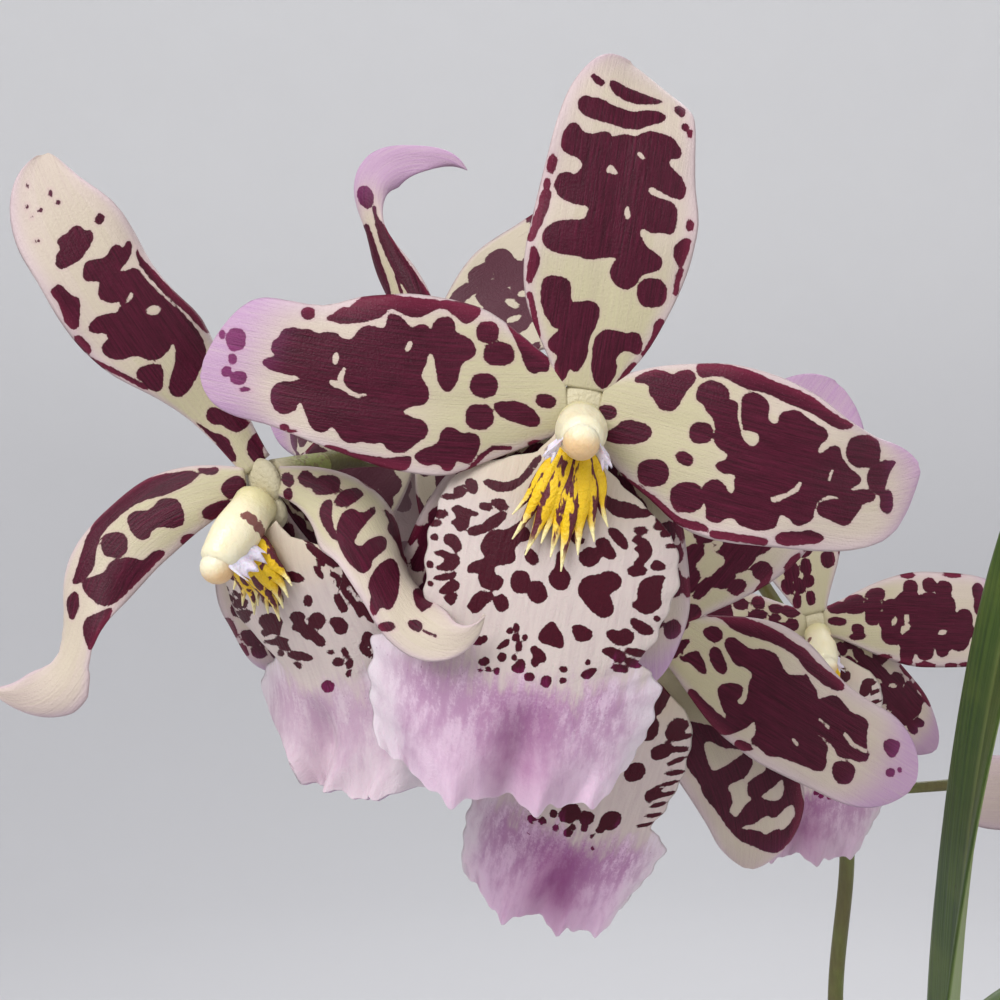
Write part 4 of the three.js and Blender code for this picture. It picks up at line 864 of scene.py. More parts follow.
PICTURE_MARKS["b", "lip"] = dict(
    outlines=[
        (258, 620, 262, 615, 272, 613, 279, 617, 283, 622, 280, 630, 280, 636, 272, 633, 264, 637, 260,
         632, 266, 628, 260, 625),
        (288, 618, 293, 612, 301, 612, 306, 616, 302, 622, 312, 628, 318, 634, 325, 639, 326, 645, 318,
         647, 312, 640, 304, 638, 299, 631, 290, 629, 296, 622),
        (241, 586, 248, 583, 256, 587, 266, 588, 275, 588, 270, 595, 260, 594, 248, 592),
        (262, 641, 272, 640, 281, 637, 290, 640, 286, 644, 292, 650, 285, 651, 278, 645, 268, 644),
        (286, 655, 293, 651, 302, 652, 310, 655, 314, 660, 306, 661, 294, 659),
        (236, 600, 243, 598, 249, 602, 246, 607, 238, 608, 232, 605),
        (235, 613, 242, 610, 254, 611, 249, 616, 250, 620, 243, 624, 239, 620, 241, 616),
        (329, 619, 336, 617, 344, 619, 349, 627, 345, 634, 337, 634, 332, 627),
        (333, 595, 338, 593, 344, 601, 349, 610, 344, 614, 337, 607),
        (362, 634, 368, 631, 375, 636, 376, 646, 368, 647, 362, 641),
        (358, 644, 364, 645, 371, 652, 376, 660, 369, 658, 361, 652),
        (215, 585, 222, 584, 230, 589, 224, 592, 217, 590),
        (221, 594, 229, 594, 235, 598, 231, 602),
        (280, 577, 290, 571, 300, 574, 306, 580, 296, 583),
        (356, 598, 366, 606, 374, 616, 378, 624, 370, 622, 361, 612),
        (302, 528, 309, 528, 312, 543, 319, 551, 330, 555, 340, 558, 340, 566, 333, 568, 325, 562, 317,
         558, 309, 551, 304, 541),
        (313, 565, 318, 567, 323, 573, 323, 580, 319, 577, 315, 571),
        (328, 574, 332, 571, 338, 574, 343, 581, 350, 589, 344, 586, 336, 579),
        (332, 582, 341, 585, 348, 591, 354, 598, 359, 606, 363, 615, 360, 619, 356, 611, 350, 602, 344,
         594, 338, 587),
        (341, 567, 346, 571, 351, 580, 358, 588, 364, 597, 360, 597, 352, 588, 345, 580)],
    blots=[
        (317, 325, 560, 566, 25), (262, 283, 592, 606), (309, 325, 613, 628, 25), (278, 284, 650, 656),
        (226, 234, 606, 613, 20), (322, 334, 681, 692), (333, 343, 658, 666), (346, 353, 659, 668),
        (346, 351, 671, 677), (294, 302, 663, 667, 30), (267, 279, 577, 586, -20), (304, 312, 596, 606),
        (248, 262, 572, 580, -20), (251, 256, 641, 645), (244, 249, 628, 632), (340, 350, 650, 655, 60),
        (328, 334, 650, 654)],
    strokes=[
        (5, (231, 576), (243, 582), (262, 581)), (3, (234, 592), (240, 596))])
PICTURE_MARKS["c", "dorsal"] = dict(
    outlines=[
        (356, 192, 362, 184, 371, 188, 375, 200, 370, 210, 360, 206),
        (362, 226, 368, 222, 373, 236, 380, 258, 388, 280, 394, 303, 376, 303, 368, 278, 363, 250),
        (374, 218, 382, 220, 392, 238, 404, 256, 418, 276, 434, 300, 430, 310, 415, 305, 404, 288, 393,
         272, 385, 254, 378, 238)],
    strokes=[
        (3, (396, 276), (404, 300)), (4, (377, 222), (374, 208))])
PICTURE_MARKS["d", "right_petal"] = dict(
    outlines=[
        (695, 606, 702, 604, 716, 606, 736, 614, 756, 621, 776, 629, 791, 640, 807, 650, 818, 663, 836,
         676, 847, 687, 840, 692, 826, 687, 814, 677, 803, 667, 796, 656, 784, 649, 770, 642, 755, 638,
         741, 634, 729, 627, 721, 618, 704, 616),
        (701, 632, 707, 627, 717, 626, 724, 633, 721, 642, 711, 643),
        (708, 652, 713, 646, 719, 647, 724, 656, 728, 668, 725, 675, 718, 673, 711, 664),
        (723, 642, 731, 636, 740, 641, 750, 650, 762, 648, 776, 653, 781, 662, 786, 674, 798, 675, 808,
         674, 812, 684, 818, 691, 817, 700, 824, 697, 834, 694, 843, 701, 850, 712, 862, 716, 870, 723,
         867, 733, 867, 747, 870, 754, 867, 762, 858, 762, 846, 758, 837, 757, 833, 746, 824, 738, 813,
         733, 823, 740, 829, 747, 826, 757, 827, 766, 820, 773, 806, 767, 792, 762, 780, 757, 768, 757,
         760, 749, 749, 741, 756, 734, 755, 719, 749, 727, 737, 732, 728, 736, 715, 734, 707, 727, 699,
         732, 689, 729, 686, 718, 687, 703, 687, 689, 694, 688, 704, 700, 717, 712, 728, 720, 721, 706,
         716, 690, 721, 684, 732, 682, 744, 686, 742, 697, 736, 701, 740, 706, 747, 699, 748, 684, 753,
         674, 746, 668, 736, 666, 728, 654),
        (832, 765, 838, 760, 849, 762, 856, 767, 854, 778, 848, 785, 838, 784, 832, 776),
        (882, 743, 887, 739, 895, 739, 901, 743, 899, 752, 893, 759, 886, 755),
        (667, 619, 673, 611, 683, 610, 690, 616, 689, 627, 681, 633, 671, 631),
        (668, 649, 677, 640, 693, 638, 684, 650, 672, 662),
        (678, 660, 685, 654, 698, 649, 703, 658, 708, 673, 701, 675, 692, 664),
        (732, 744, 739, 739, 747, 742, 755, 748, 749, 752, 739, 750)],
    blots=[
        (885, 895, 768, 777), (897, 902, 767, 773)],
    cuts=[
        (3, (820, 720), (829, 728)), (4, (845, 734), (853, 745), (866, 751)), (3, (793, 740), (798, 745))])
PICTURE_MARKS["d", "right_sepal"] = dict(
    outlines=[
        (670, 720, 700, 722, 730, 732, 765, 745, 790, 762, 800, 780, 803, 800, 810, 815, 810, 832, 796,
         838, 786, 846, 778, 854, 765, 852, 752, 846, 738, 840, 726, 826, 714, 808, 703, 796, 699, 782,
         688, 770, 676, 745)],
    holes=[
        (703, 742, 711, 741, 721, 748, 738, 749, 746, 752, 734, 760, 722, 768, 713, 772, 708, 762),
        (727, 786, 736, 782, 744, 778, 748, 786, 746, 794, 753, 799, 746, 804, 741, 811, 736, 818, 728,
         811, 733, 804, 731, 794),
        (752, 754, 761, 750, 767, 763, 764, 773, 755, 776, 749, 783, 741, 782, 748, 774, 753, 765),
        (759, 797, 770, 790, 779, 782, 783, 778, 784, 793, 779, 801, 768, 800),
        (756, 824, 765, 815, 775, 819, 785, 808, 793, 804, 796, 813, 790, 823, 783, 831, 776, 828, 766,
         836, 760, 830, 738, 829, 747, 825)])

# The rows of blots and the chains of marks on a blade that the picture doesn't show, from s at the
# first to the step between two. A mark of a chain is twice CHAIN_REACH wide.
BLOT_ROWS = (0.07, 0.088)
BLOT_SPREAD = 0.68
CHAIN_ROWS = (0.3, 0.11)
CHAIN_REACH = 0.9
PALE_GAPS = 5


def scattered_marks(random, spec):
    """Blots in rows across a blade that run together down its middle, with a chain of marks along
    each margin, in millimetres along and across it. The root and the tip stay pale."""
    long = spec["long"]
    blots = []
    for row in np.arange(BLOT_ROWS[0], spec["bare"], BLOT_ROWS[1]):
        half = float(tepal_half(spec, np.array(row), np.array(0.5)))
        full = 0.25 < row < 0.76
        count = 3 if half < 7 else 5
        for v in np.linspace(-BLOT_SPREAD, BLOT_SPREAD, count):
            if random.random() < (0.05 if full and abs(v) < 0.4 else 0.28):
                continue
            grow = 1.25 if full and abs(v) < 0.4 else 0.9
            x = long * (row + random.uniform(-0.012, 0.012))
            y = half * (v + random.uniform(-0.07, 0.07))
            a = 2.5 * grow * random.uniform(0.8, 1.25)
            b = half / count * grow * random.uniform(0.75, 1.25)
            blots.append((x - a, x + a, y - b, y + b, random.uniform(-12, 12)))
    for hand in (-1, 1):
        for row in np.arange(CHAIN_ROWS[0], spec["bare"] - 0.04, CHAIN_ROWS[1]):
            if random.random() < 0.25:
                continue
            half = float(tepal_half(spec, np.array(row), np.array(0.9 * hand)))
            x, y = long * (row + random.uniform(-0.02, 0.02)), hand * half * 0.96
            a = random.uniform(1.6, 3.4)
            blots.append((x - a, x + a, y - CHAIN_REACH, y + CHAIN_REACH))
    gaps = [(long * s - 1.4, long * s + 1.4, y - 0.7, y + 0.7, random.uniform(0, 90))
            for s, y in zip(random.uniform(0.3, 0.7, PALE_GAPS), random.uniform(-4, 4, PALE_GAPS))]
    return dict(blots=blots, gaps=gaps)


# The flesh of a sepal or petal: cream, greener at the root and pinker at the margins, with lilac at
# the tip, and dark maroon blotches under a satin skin of fine lengthwise veins and tiny papillae.
# Toward the margins the blotches carry a painted reddish sheen and painted pink glints.
tepal_paint = Material("tepal", {"Roughness": 0.42, "Specular IOR Level": 0.22})
m = tepal_paint
blade = m.attribute("blade", "Vector")
veins = m.noise(blade.scaled(0.1, 2.6, 1), 1.0, 3, 0.6)
fibres = m.noise(blade.scaled(0.35, 6.0, 1), 1.0, 2)
wobble = m.noise(blade, 0.9, 3, 0.6)
papillae = m.cells(blade, 2.6)
depth = m.attribute("marks") + (wobble - 0.5) * 0.5 + (fibres - 0.5) * 0.25
dark = depth.step(-0.07, 0.07)
margin = m.attribute("margin")
lilac = m.attribute("lilac") * (0.8 + (veins - 0.5) * 0.9)
ground = m.mix(m.attribute("green").step(0.0, 1.0), rgb(202, 188, 172), rgb(190, 182, 148))
ground = m.mix(margin.step(0.45, 1.0) * 0.8, ground, rgb(206, 186, 190))
ground = m.mix(lilac, ground, rgb(184, 144, 186))
ground = m.mix(veins.step(0.35, 0.7) * 0.16, ground, rgb(176, 150, 150))
blotch = m.mix((veins * 0.7 + fibres * 0.5).step(0.4, 0.85), rgb(52, 0, 20), rgb(86, 12, 42))
# Toward the margins the blotches turn a pinker maroon: a painted reddish sheen.
blotch = m.mix(margin.step(0.55, 1.0) * 0.6, blotch, rgb(124, 34, 62))
# Painted highlights: bright pink glints on the papillae, stronger toward the margins.
glints = (0.16 - papillae).step(0.0, 0.14) * margin.step(0.2, 1.0)
blotch = m.mix(glints * 0.7, blotch, rgb(205, 120, 150))
blotch = m.mix(lilac * 0.7, blotch, rgb(142, 60, 120))
halo = depth.step(-0.5, -0.05) * (1 - dark)
front = m.mix(dark, m.mix(halo * 0.2, ground, rgb(190, 140, 160)), blotch)
back_ground = m.mix(lilac, rgb(196, 184, 164), rgb(172, 132, 174))
back_blotch = m.mix(lilac, rgb(74, 18, 44), rgb(140, 84, 134))
behind = m.mix(dark * 0.96, back_ground, back_blotch)
m.set(base_color=m.mix(m.attribute("behind"), front, behind), roughness=0.5 + (fibres - 0.5) * 0.2)
m.bump(veins * 0.5 + fibres * 0.3 - papillae * 0.25 - dark * 0.15, 0.00022, 0.9)

# The green flesh of the seed vessel and of the boss that joins the blades.
boss_paint = Material("boss", {"Roughness": 0.5})
m = boss_paint
place = m.place()
speck = m.noise(place, 0.9, 3).step(0.5, 0.62)
flesh = m.mix(m.attribute("green"), rgb(198, 188, 156), rgb(150, 156, 84))
m.set(base_color=m.mix(speck * m.attribute("green") * 0.5, flesh, rgb(110, 60, 60)))
m.bump(m.noise(place, 1.6, 3), 0.0003)

# The third number of "blade" sets the grain of one blade apart from the next. The colour of the
# back ends at BACK_EDGE of the half width, so that the margin has the front's.
for number, (bloom, place) in enumerate(BLOOM_PLACES.items()):
    shells = Shells()
    for order, (piece, usual) in enumerate(TEPAL_SET.items()):
        spec = {**TEPAL, **usual, **BLOOM_FORMS[bloom].get(piece, {})}
        marks = PICTURE_MARKS.get((bloom, piece))
        rows, columns = SHOWN_MESH if marks else HIDDEN_MESH
        if bloom == "a" and "sepal" not in piece:
            rows, columns = NEAR_MESH
        points, faces, s, v, face = blade_shell(tepal_surface, spec, TEPAL_THICK, rows, columns)
        points = placed(place, points, spec["upright"])
        flat = vectors(s * spec["long"], v * tepal_half(spec, s, v))
        if marks:
            depth = picture_depth(bloom, points, marks)
        else:
            random = np.random.default_rng(100 * number + order)
            depth = marks_depth(flat, scattered_marks(random, spec), 1.0)
        shells.add(points, faces, 0, marks=depth, behind=(face < 0) & (np.abs(v) < BACK_EDGE),
                   blade=vectors(flat[:, 0], flat[:, 1], 40 * number + 8 * order),
                   margin=np.abs(v) ** 2, green=1 - smooth(0.15, 0.6, s) * (1 - 0.3 * (np.abs(v) < 0.5)),
                   lilac=spec["tint"] * smooth(spec["tip"] - 0.1, spec["tip"] + 0.1, s + 0.04 * v**2))
    for centre, radii in BOSS_BALLS:
        points, faces = ball(centre, radii)
        shells.add(placed(place, points), faces, 1)
    points, faces, held, turn = tube(OVARY_LINE, OVARY_RADII, 24, 0.2)
    shells.add(placed(place, points), faces, 1, green=smooth(0, 0.3, held))
    name = f"bloom_{bloom}_sepals_petals"
    shells.make(name, [tepal_paint, boss_paint], [name])

# Lips: the third petal of each bloom, a thick velvety blade grown to the foot of the column, rounded
# and spotted above, with a waist and a wide ruffled lilac end with a groove down it. Points of its
# outline are (s, half width).
LIP = dict(at=-90, lean=[8, 0, -12, -22], twist=0, long=56, broad=1, skew=0, tint=0.6, left=1, right=1)
LIP_SPECS = {bloom: {**LIP, **form.get("lip", {})} for bloom, form in BLOOM_FORMS.items()}
LIP_ROOT = (0, -2.5, -8.5)
LIP_START = -0.15
LIP_THICK = 0.8
LIP_NEAR_MESH = (190, 124)
LIP_MESH = (90, 60)
GROOVE_DEPTH = 4
GROOVE_WIDTH = 3.2
GROOVE_TINT_WIDTH = 6.5
LIP_HALF_WIDTHS = [
    (0, 4), (0.06, 6), (0.09, 10.5), (0.13, 16), (0.2, 19.2), (0.36, 20.2), (0.5, 19), (0.6, 17),
    (0.635, 21), (0.68, 24.5), (0.8, 24.5), (0.9, 23.6), (1, 22),
]


def lip_half(spec, s, v):
    """Half the width, read along the outline with a half-smoothed step from point to point."""
    spots, widths = np.array(LIP_HALF_WIDTHS).T
    s = np.clip(s, 0, 1)
    i = np.clip(np.searchsorted(spots, s), 1, len(spots) - 1)
    t = (s - spots[i - 1]) / (spots[i] - spots[i - 1])
    t = 0.5 * t + 0.5 * smooth(0, 1, t)
    half = spec["broad"] * (widths[i - 1] + (widths[i] - widths[i - 1]) * t)
    half = half * np.where(v < 0, keyed(spec["left"], s), keyed(spec["right"], s))
    return half * (1 - spec["skew"] * np.sign(v) * smooth(0.55, 0.7, s))


def lip_surface(spec, s, v):
    """The middle surface of a lip and its front direction. The margins trail behind the middle."""
    line = blade_line(spec, LIP_ROOT, LIP_START)
    sweep = 0.06 + 0.04 * smooth(0.1, 1, s)
    frill = smooth(0.8, 1, s) * (0.014 + 0.008 * np.sin(23 * v + 1) + 0.006 * np.sin(41 * v + 2))
    point, side, front = line(s - sweep * np.abs(v) ** (2.4 + 1.2 * smooth(0.6, 1, s)) - frill)
    half = lip_half(spec, s, v) * (1 + 0.012 * np.sin(70 * s + 3 * v) * smooth(0.6, 1, np.abs(v)))
    reach, rise = bent(half, -(22 + 16 * smooth(0.55, 0.75, s)), v)
    groove = -GROOVE_DEPTH * np.exp(-((v * half / GROOVE_WIDTH) ** 2)) * smooth(0.62, 0.85, s)
    ruffle = (1.4 * np.abs(v) ** 4 * np.sin(16 * s + 2) * smooth(0.58, 0.7, s)
              + 1.8 * smooth(0.82, 1, s) * np.sin(11 * v)
              + 0.45 * smooth(0.88, 1, s) * np.sin(31 * v + 1))
    return point + side * reach[..., None] + front * (rise + groove + ruffle)[..., None], front


def lip_spots(random, spec):
    """Round spots over the upper part, larger at its middle, with short dashes at its margins."""
    long, blots = spec["long"], []
    for row in np.arange(0.1, 0.6, 0.085):
        half = float(lip_half(spec, np.array(row), np.array(0.0)))
        for v in np.linspace(-0.72, 0.72, 6):
            if random.random() < 0.22:
                continue
            x, y = long * (row + random.uniform(-0.02, 0.02)), half * (v + random.uniform(-0.06, 0.06))
            a, b = random.uniform(1.1, 2.4), random.uniform(1.1, 2.0)
            blots.append((x - a, x + a, y - b, y + b, random.uniform(-30, 30)))
    for hand in (-1, 1):
        for row in np.arange(0.16, 0.58, 0.045):
            half = float(lip_half(spec, np.array(row), np.array(0.0)))
            x, y = long * row, hand * half * 0.88
            blots.append((x - 0.55, x + 0.55, y - 1.7, y + 1.7, random.uniform(-20, 20)))
    for x, y in zip(long * random.uniform(0.56, 0.66, 14), random.uniform(-9, 9, 14)):
        a = random.uniform(0.3, 0.8)
        blots.append((x - a, x + a, y - a, y + a))
    return dict(blots=blots)


lip_paint = Material("lip", {"Roughness": 0.6, "Specular IOR Level": 0.2, "Subsurface Weight": 0.1,
                             "Subsurface Radius": (1.0, 0.4, 0.6), "Subsurface Scale": 0.002})
m = lip_paint
blade = m.attribute("blade", "Vector")
along = m.attribute("along")
veins = m.noise(blade.scaled(0.12, 1.1, 1), 1.0, 3, 0.6)
grain = m.noise(blade, 1.9, 3, 0.7)
wobble = m.noise(blade, 0.9, 3, 0.6)
depth = m.attribute("marks") + 0.1 + (wobble - 0.5) * 0.5 + (grain - 0.5) * 0.3
dark = depth.step(-0.07, 0.07)
edge = m.attribute("margin")
flow = m.noise(blade.scaled(0.4, 1, 1), 0.35, 4, 0.65)
low = (along + (flow - 0.5) * 0.35 + (veins - 0.5) * 0.08).step(0.56, 0.68)
ground = m.mix(veins.step(0.35, 0.75) * 0.35, rgb(206, 192, 186), rgb(180, 158, 162))
ground = m.mix(m.attribute("green").step(0, 1) * 0.6, ground, rgb(202, 186, 156))
tint = m.attribute("tint")
pale = m.mix(tint, rgb(206, 190, 196), rgb(224, 190, 217))
purple = m.mix(tint, rgb(186, 154, 176), rgb(150, 80, 140))
mottle = (flow + (grain - 0.5) * 0.5).step(0.46, 0.68)
petal = m.mix((along + (flow - 0.5) * 0.6).step(0.64, 0.98), m.mix(0.3 + mottle * 0.6, purple, pale), pale)
petal = m.mix(m.attribute("groove") * 0.8 * tint, petal, rgb(138, 48, 118))
petal = m.mix((veins - 0.5).step(0.0, 0.3) * 0.3 * tint, petal, rgb(160, 100, 158))
petal = m.mix((edge + (flow - 0.5) * 0.4).step(0.6, 1.0) * 0.85, petal, rgb(222, 210, 216))
petal = m.mix((0.2 - m.cells(blade, 1.3)).step(0, 0.1) * (grain - 0.42).step(0, 0.2) * 0.6
              * (1 - along.step(0.65, 0.85)), petal, rgb(124, 44, 112))
ground = m.mix(low, ground, petal)
spot = m.mix(low, m.mix(grain, rgb(48, 0, 16), rgb(78, 4, 28)), rgb(116, 18, 78))
front = m.mix(dark, ground, spot)
under = m.mix(mottle * 0.6, rgb(178, 138, 180), rgb(208, 180, 208))
behind = m.mix(dark * 0.7, m.mix(low, rgb(208, 196, 190), under), rgb(112, 58, 84))
m.set(base_color=m.mix(m.attribute("behind"), front, behind), roughness=0.7 - dark * 0.2)
m.bump(veins * 0.5 + grain * 0.4, 0.00035, 0.9)

for number, (bloom, place) in enumerate(BLOOM_PLACES.items()):
    spec = LIP_SPECS[bloom]
    rows, columns = LIP_NEAR_MESH if bloom == "a" else LIP_MESH
    points, faces, s, v, face = blade_shell(lip_surface, spec, LIP_THICK, rows, columns, 1.0)
    points = placed(place, points)
    half = lip_half(spec, s, v)
    flat = vectors(s * spec["long"], v * half)
    marks = PICTURE_MARKS.get((bloom, "lip"))
    if marks:
        depth = picture_depth(bloom, points, marks)
    else:
        depth = marks_depth(flat, lip_spots(np.random.default_rng(50 + number), spec), 1.0)
    groove = np.exp(-((v * half / GROOVE_TINT_WIDTH) ** 2)) * smooth(0.56, 0.72, s)
    shells = Shells()
    shells.add(points, faces, 0, marks=depth, along=s, groove=groove * (1 - 0.5 * smooth(0.85, 1, s)),
               blade=vectors(flat[:, 0], flat[:, 1], 30 * number + 400),
               margin=np.maximum(np.abs(v), smooth(0.9, 1.05, s)), green=1 - smooth(0.02, 0.3, s),
               tint=np.full(len(s), spec["tint"]), behind=(face < 0) & (np.abs(v) < BACK_EDGE))
    name = f"bloom_{bloom}_lip"
    shells.make(name, [lip_paint], [name])

# Crest: a fan of fleshy fingers grown on the root of the lip, yellow with maroon lines, split at
# their ends into pale teeth. Each is (end along the lip, reach across it in mm, thickness), and its
# line has four points: their share of the reach, height over the lip and share of the thickness.
CREST_FINGERS = [
    (0.19, -7.6, 1.1), (0.25, -6.8, 1.4), (0.28, -4.4, 1.6), (0.24, -2.4, 1.5), (0.27, -0.6, 1.5),
    (0.3, 1.4, 1.6), (0.25, 3.4, 1.7), (0.21, 5.4, 1.4), (0.17, 7, 1.2),
]
CREST_START = 0.015
CREST_REACHES = np.array([0.3, 0.6, 0.8, 1])
CREST_LIFTS = np.array([2.1, 2.7, 2.0, 2.6])
CREST_SWELLS = np.array([1.15, 1.25, 0.85, 0.42])
CREST_TIP = 0.1
crest_paint = Material("crest", {"Roughness": 0.5, "Subsurface Weight": 0.15, "Subsurface Scale": 0.002,
                                 "Subsurface Radius": (1.0, 0.7, 0.2)})
m = crest_paint
along = m.attribute("along")
place = m.place()
grain = m.noise(place, 0.8, 3)
yellow = m.mix(grain, rgb(236, 182, 4), rgb(252, 212, 22))
yellow = m.mix((along + (grain - 0.5) * 0.3).step(0.62, 0.95), yellow, rgb(246, 232, 172))
lines = m.attribute("marks") + (m.noise(place.scaled(1.6, 1.6, 0.6), 0.5, 2) - 0.52) * 3
m.set(base_color=m.mix(lines.step(-0.02, 0.16) * (1 - along.step(0.78, 0.95)), yellow, rgb(92, 14, 34)))
m.bump(m.noise(place, 2.0, 3), 0.0004)


def spline(points, count):
    """A centripetal Catmull-Rom curve through the points, read at count + 1 even steps of length."""
    points = np.asarray(points, float)
    points = np.vstack([2 * points[0] - points[1], points, 2 * points[-1] - points[-2]])
    gap = np.sqrt(np.linalg.norm(np.diff(points, axis=0), axis=1))
    a, b, c, d = points[:-3, None], points[1:-2, None], points[2:-1, None], points[3:, None]
    u, v, w = gap[:-2, None, None], gap[1:-1, None, None], gap[2:, None, None]
    leave = ((b - a) / u - (c - a) / (u + v) + (c - b) / v) * v
    reach = ((c - b) / v - (d - b) / (v + w) + (d - c) / w) * v
    t = np.linspace(0, 1, 40, endpoint=False)[None, :, None]
    curve = ((2 * b - 2 * c + leave + reach) * t**3 + (-3 * b + 3 * c - 2 * leave - reach) * t**2
             + leave * t + b).reshape(-1, 3)
    curve = np.vstack([curve, points[-2]])
    run = np.concatenate([[0], np.cumsum(np.linalg.norm(np.diff(curve, axis=0), axis=1))])
    even = np.linspace(0, run[-1], count + 1)
    return np.stack([np.interp(even, run, curve[:, k]) for k in range(3)], -1)


for bloom, place in BLOOM_PLACES.items():
    shells = Shells()
    for end, spread, thick in CREST_FINGERS:
        s = np.array([CREST_START, end * 0.45, end * 0.75, end])
        across = CREST_REACHES * spread
        half = np.maximum(lip_half(LIP_SPECS[bloom], s, across), 4)
        point, front = lip_surface(LIP_SPECS[bloom], s, across / half)
        line = spline(point + front * CREST_LIFTS[:, None], 26)
        points, faces, held, turn = tube(line, [*(thick * CREST_SWELLS), CREST_TIP], 12)
        shells.add(placed(place, points), faces, 0, along=held, marks=np.cos(turn * 2 + spread) * 0.5)
    name = f"bloom_{bloom}_crest"
    shells.make(name, [crest_paint], [name])

# Column: a smooth waxy rod grown from the heart of the bloom that leans out over the lip, cream,
# with a tan cap at its end, painted paler over its top as a painted highlight, and two white toothed
# wings below it. Its cap and wings are placed by their share of its length.
COLUMN_BASE = np.array([0, -2.0, -3.2])
COLUMN_LENGTH = 16
COLUMN_DROP = 35
COLUMN_RADII = [3.7, 3.6, 3.8, 4.0, 3.9, 3.6, 3.2]
CAP_RADII = [2.75, 2.7, 2.75]
ROD_END = 0.72
CAP_AT = 0.78
CAP_SINK = 0.7
WING_AT = 0.62
WING_MESH = (8, 48)
WING_TEETH = 5.5
SHEET_THICK = 0.5
column_paint = Material("column", {"Roughness": 0.36, "Coat Weight": 0.15, "Subsurface Weight": 0.2,
                                   "Subsurface Radius": (1.0, 0.7, 0.4), "Subsurface Scale": 0.003})
m = column_paint
place = m.place()
along = m.attribute("along")
grain = m.noise(place, 0.35, 3)
waxy = m.mix(grain, rgb(244, 236, 208), rgb(236, 222, 180))
waxy = m.mix(1 - along.step(0.0, 0.35), waxy, rgb(214, 204, 156))
freckles = (m.attribute("marks") + (m.noise(place, 0.9, 3) - 0.5) * 2).step(0, 0.2)
waxy = m.mix(freckles * 0.9, waxy, rgb(110, 26, 42))
m.set(base_color=waxy)
m.bump(m.noise(place, 1.4, 2), 0.00015)
cap_paint = Material("anther cap", {"Roughness": 0.4, "Subsurface Weight": 0.2, "Subsurface Scale": 0.003,
                                    "Subsurface Radius": (1.0, 0.6, 0.3)})
m = cap_paint
place = m.place()
tan = m.mix(m.noise(place, 0.5, 3), rgb(236, 206, 158), rgb(216, 172, 120))
# The cap is tan, painted pale cream over its top: a painted highlight.
m.set(base_color=m.mix(m.attribute("along"), tan, rgb(242, 232, 202)))
m.bump(m.noise(place, 1.5, 2), 0.0002)
wing_paint = Material("column wing", {"Roughness": 0.45, "Subsurface Weight": 0.15,
                                      "Subsurface Scale": 0.002})
m = wing_paint
m.set(base_color=m.mix(m.noise(m.place(), 0.8, 2), rgb(246, 242, 246), rgb(216, 196, 222)))
m.bump(m.noise(m.place(), 1.5, 2), 0.0003)


def column_ahead(drop):
    """The direction of a column that dips by drop: (0, -cos drop, -sin drop)."""
    return np.array([0, -np.cos(drop), -np.sin(drop)])


def column_point(drop, s):
    """The point at share s of the column's length."""
    return COLUMN_BASE + np.asarray(s, float)[..., None] * COLUMN_LENGTH * column_ahead(drop)


def wing_grid(drop, hand):
    """A thin fringe below the column: it hangs from a line on its side, and its free edge is cut
    into pointed teeth of 1 - |saw| ** 0.8 over its length."""
    rows, columns = WING_MESH
    down = np.array([hand * 0.45, np.sin(drop) * 0.89, -np.cos(drop) * 0.89])
    q = np.linspace(0, 1, columns)[None]
    t = np.linspace(0, 1, rows)[:, None]
    saw = np.abs((q * WING_TEETH + 0.2) % 1 * 2 - 1)
    deep = 2.2 + 1.8 * np.sin(np.pi * q) + 2.4 * (1 - saw ** 0.8) * (0.6 + 0.4 * np.sin(9 * q))
    root = column_point(drop, WING_AT) + [hand * 2.4, 0, 0]
    along = (q * 5.4 - 2.6) * (1 + 0.18 * t)
    flare = 0.9 * t**2 * np.sin(14 * q)
    grid = (root + column_ahead(drop) * along[..., None] + down * (t * deep)[..., None]
            + np.array([hand, 0, 0]) * flare[..., None])
    return grid, np.array([hand * 0.9, -0.3, -0.3])


def thin_sheet(grid, front, thick):
    """A closed sheet about a grid of points, thin at its rim. Returns points and faces."""
    rows, columns = grid.shape[:2]
    front = np.broadcast_to(front, grid.shape)
    i = np.linspace(-1, 1, rows)[:, None]
    j = np.linspace(-1, 1, columns)[None]
    swell = thick / 2 * np.sqrt(np.clip((1 - i**8) * (1 - j**8), 0, 1)) + 0.02
    lift = front * swell[..., None]
    points = np.concatenate([(grid + lift).reshape(-1, 3), (grid - lift).reshape(-1, 3)])
    a, b = np.meshgrid(np.arange(rows - 1), np.arange(columns - 1), indexing="ij")
    corner = (a * columns + b).ravel()
    quad = vectors(corner, corner + 1, corner + columns + 1, corner + columns)
    size = rows * columns
    rim = np.concatenate([np.arange(columns), np.arange(1, rows) * columns + columns - 1,
                          (rows - 1) * columns + np.arange(columns - 2, -1, -1),
                          np.arange(rows - 2, 0, -1) * columns])
    after = np.roll(rim, -1)
    edge = vectors(rim, rim + size, after + size, after)
    normal = np.cross(grid[0, 1] - grid[0, 0], grid[1, 0] - grid[0, 0])
    if np.dot(normal, front[0, 0]) < 0:
        quad, edge = quad[:, ::-1], edge[:, ::-1]
    return points, [quad, quad[:, ::-1] + size, edge]


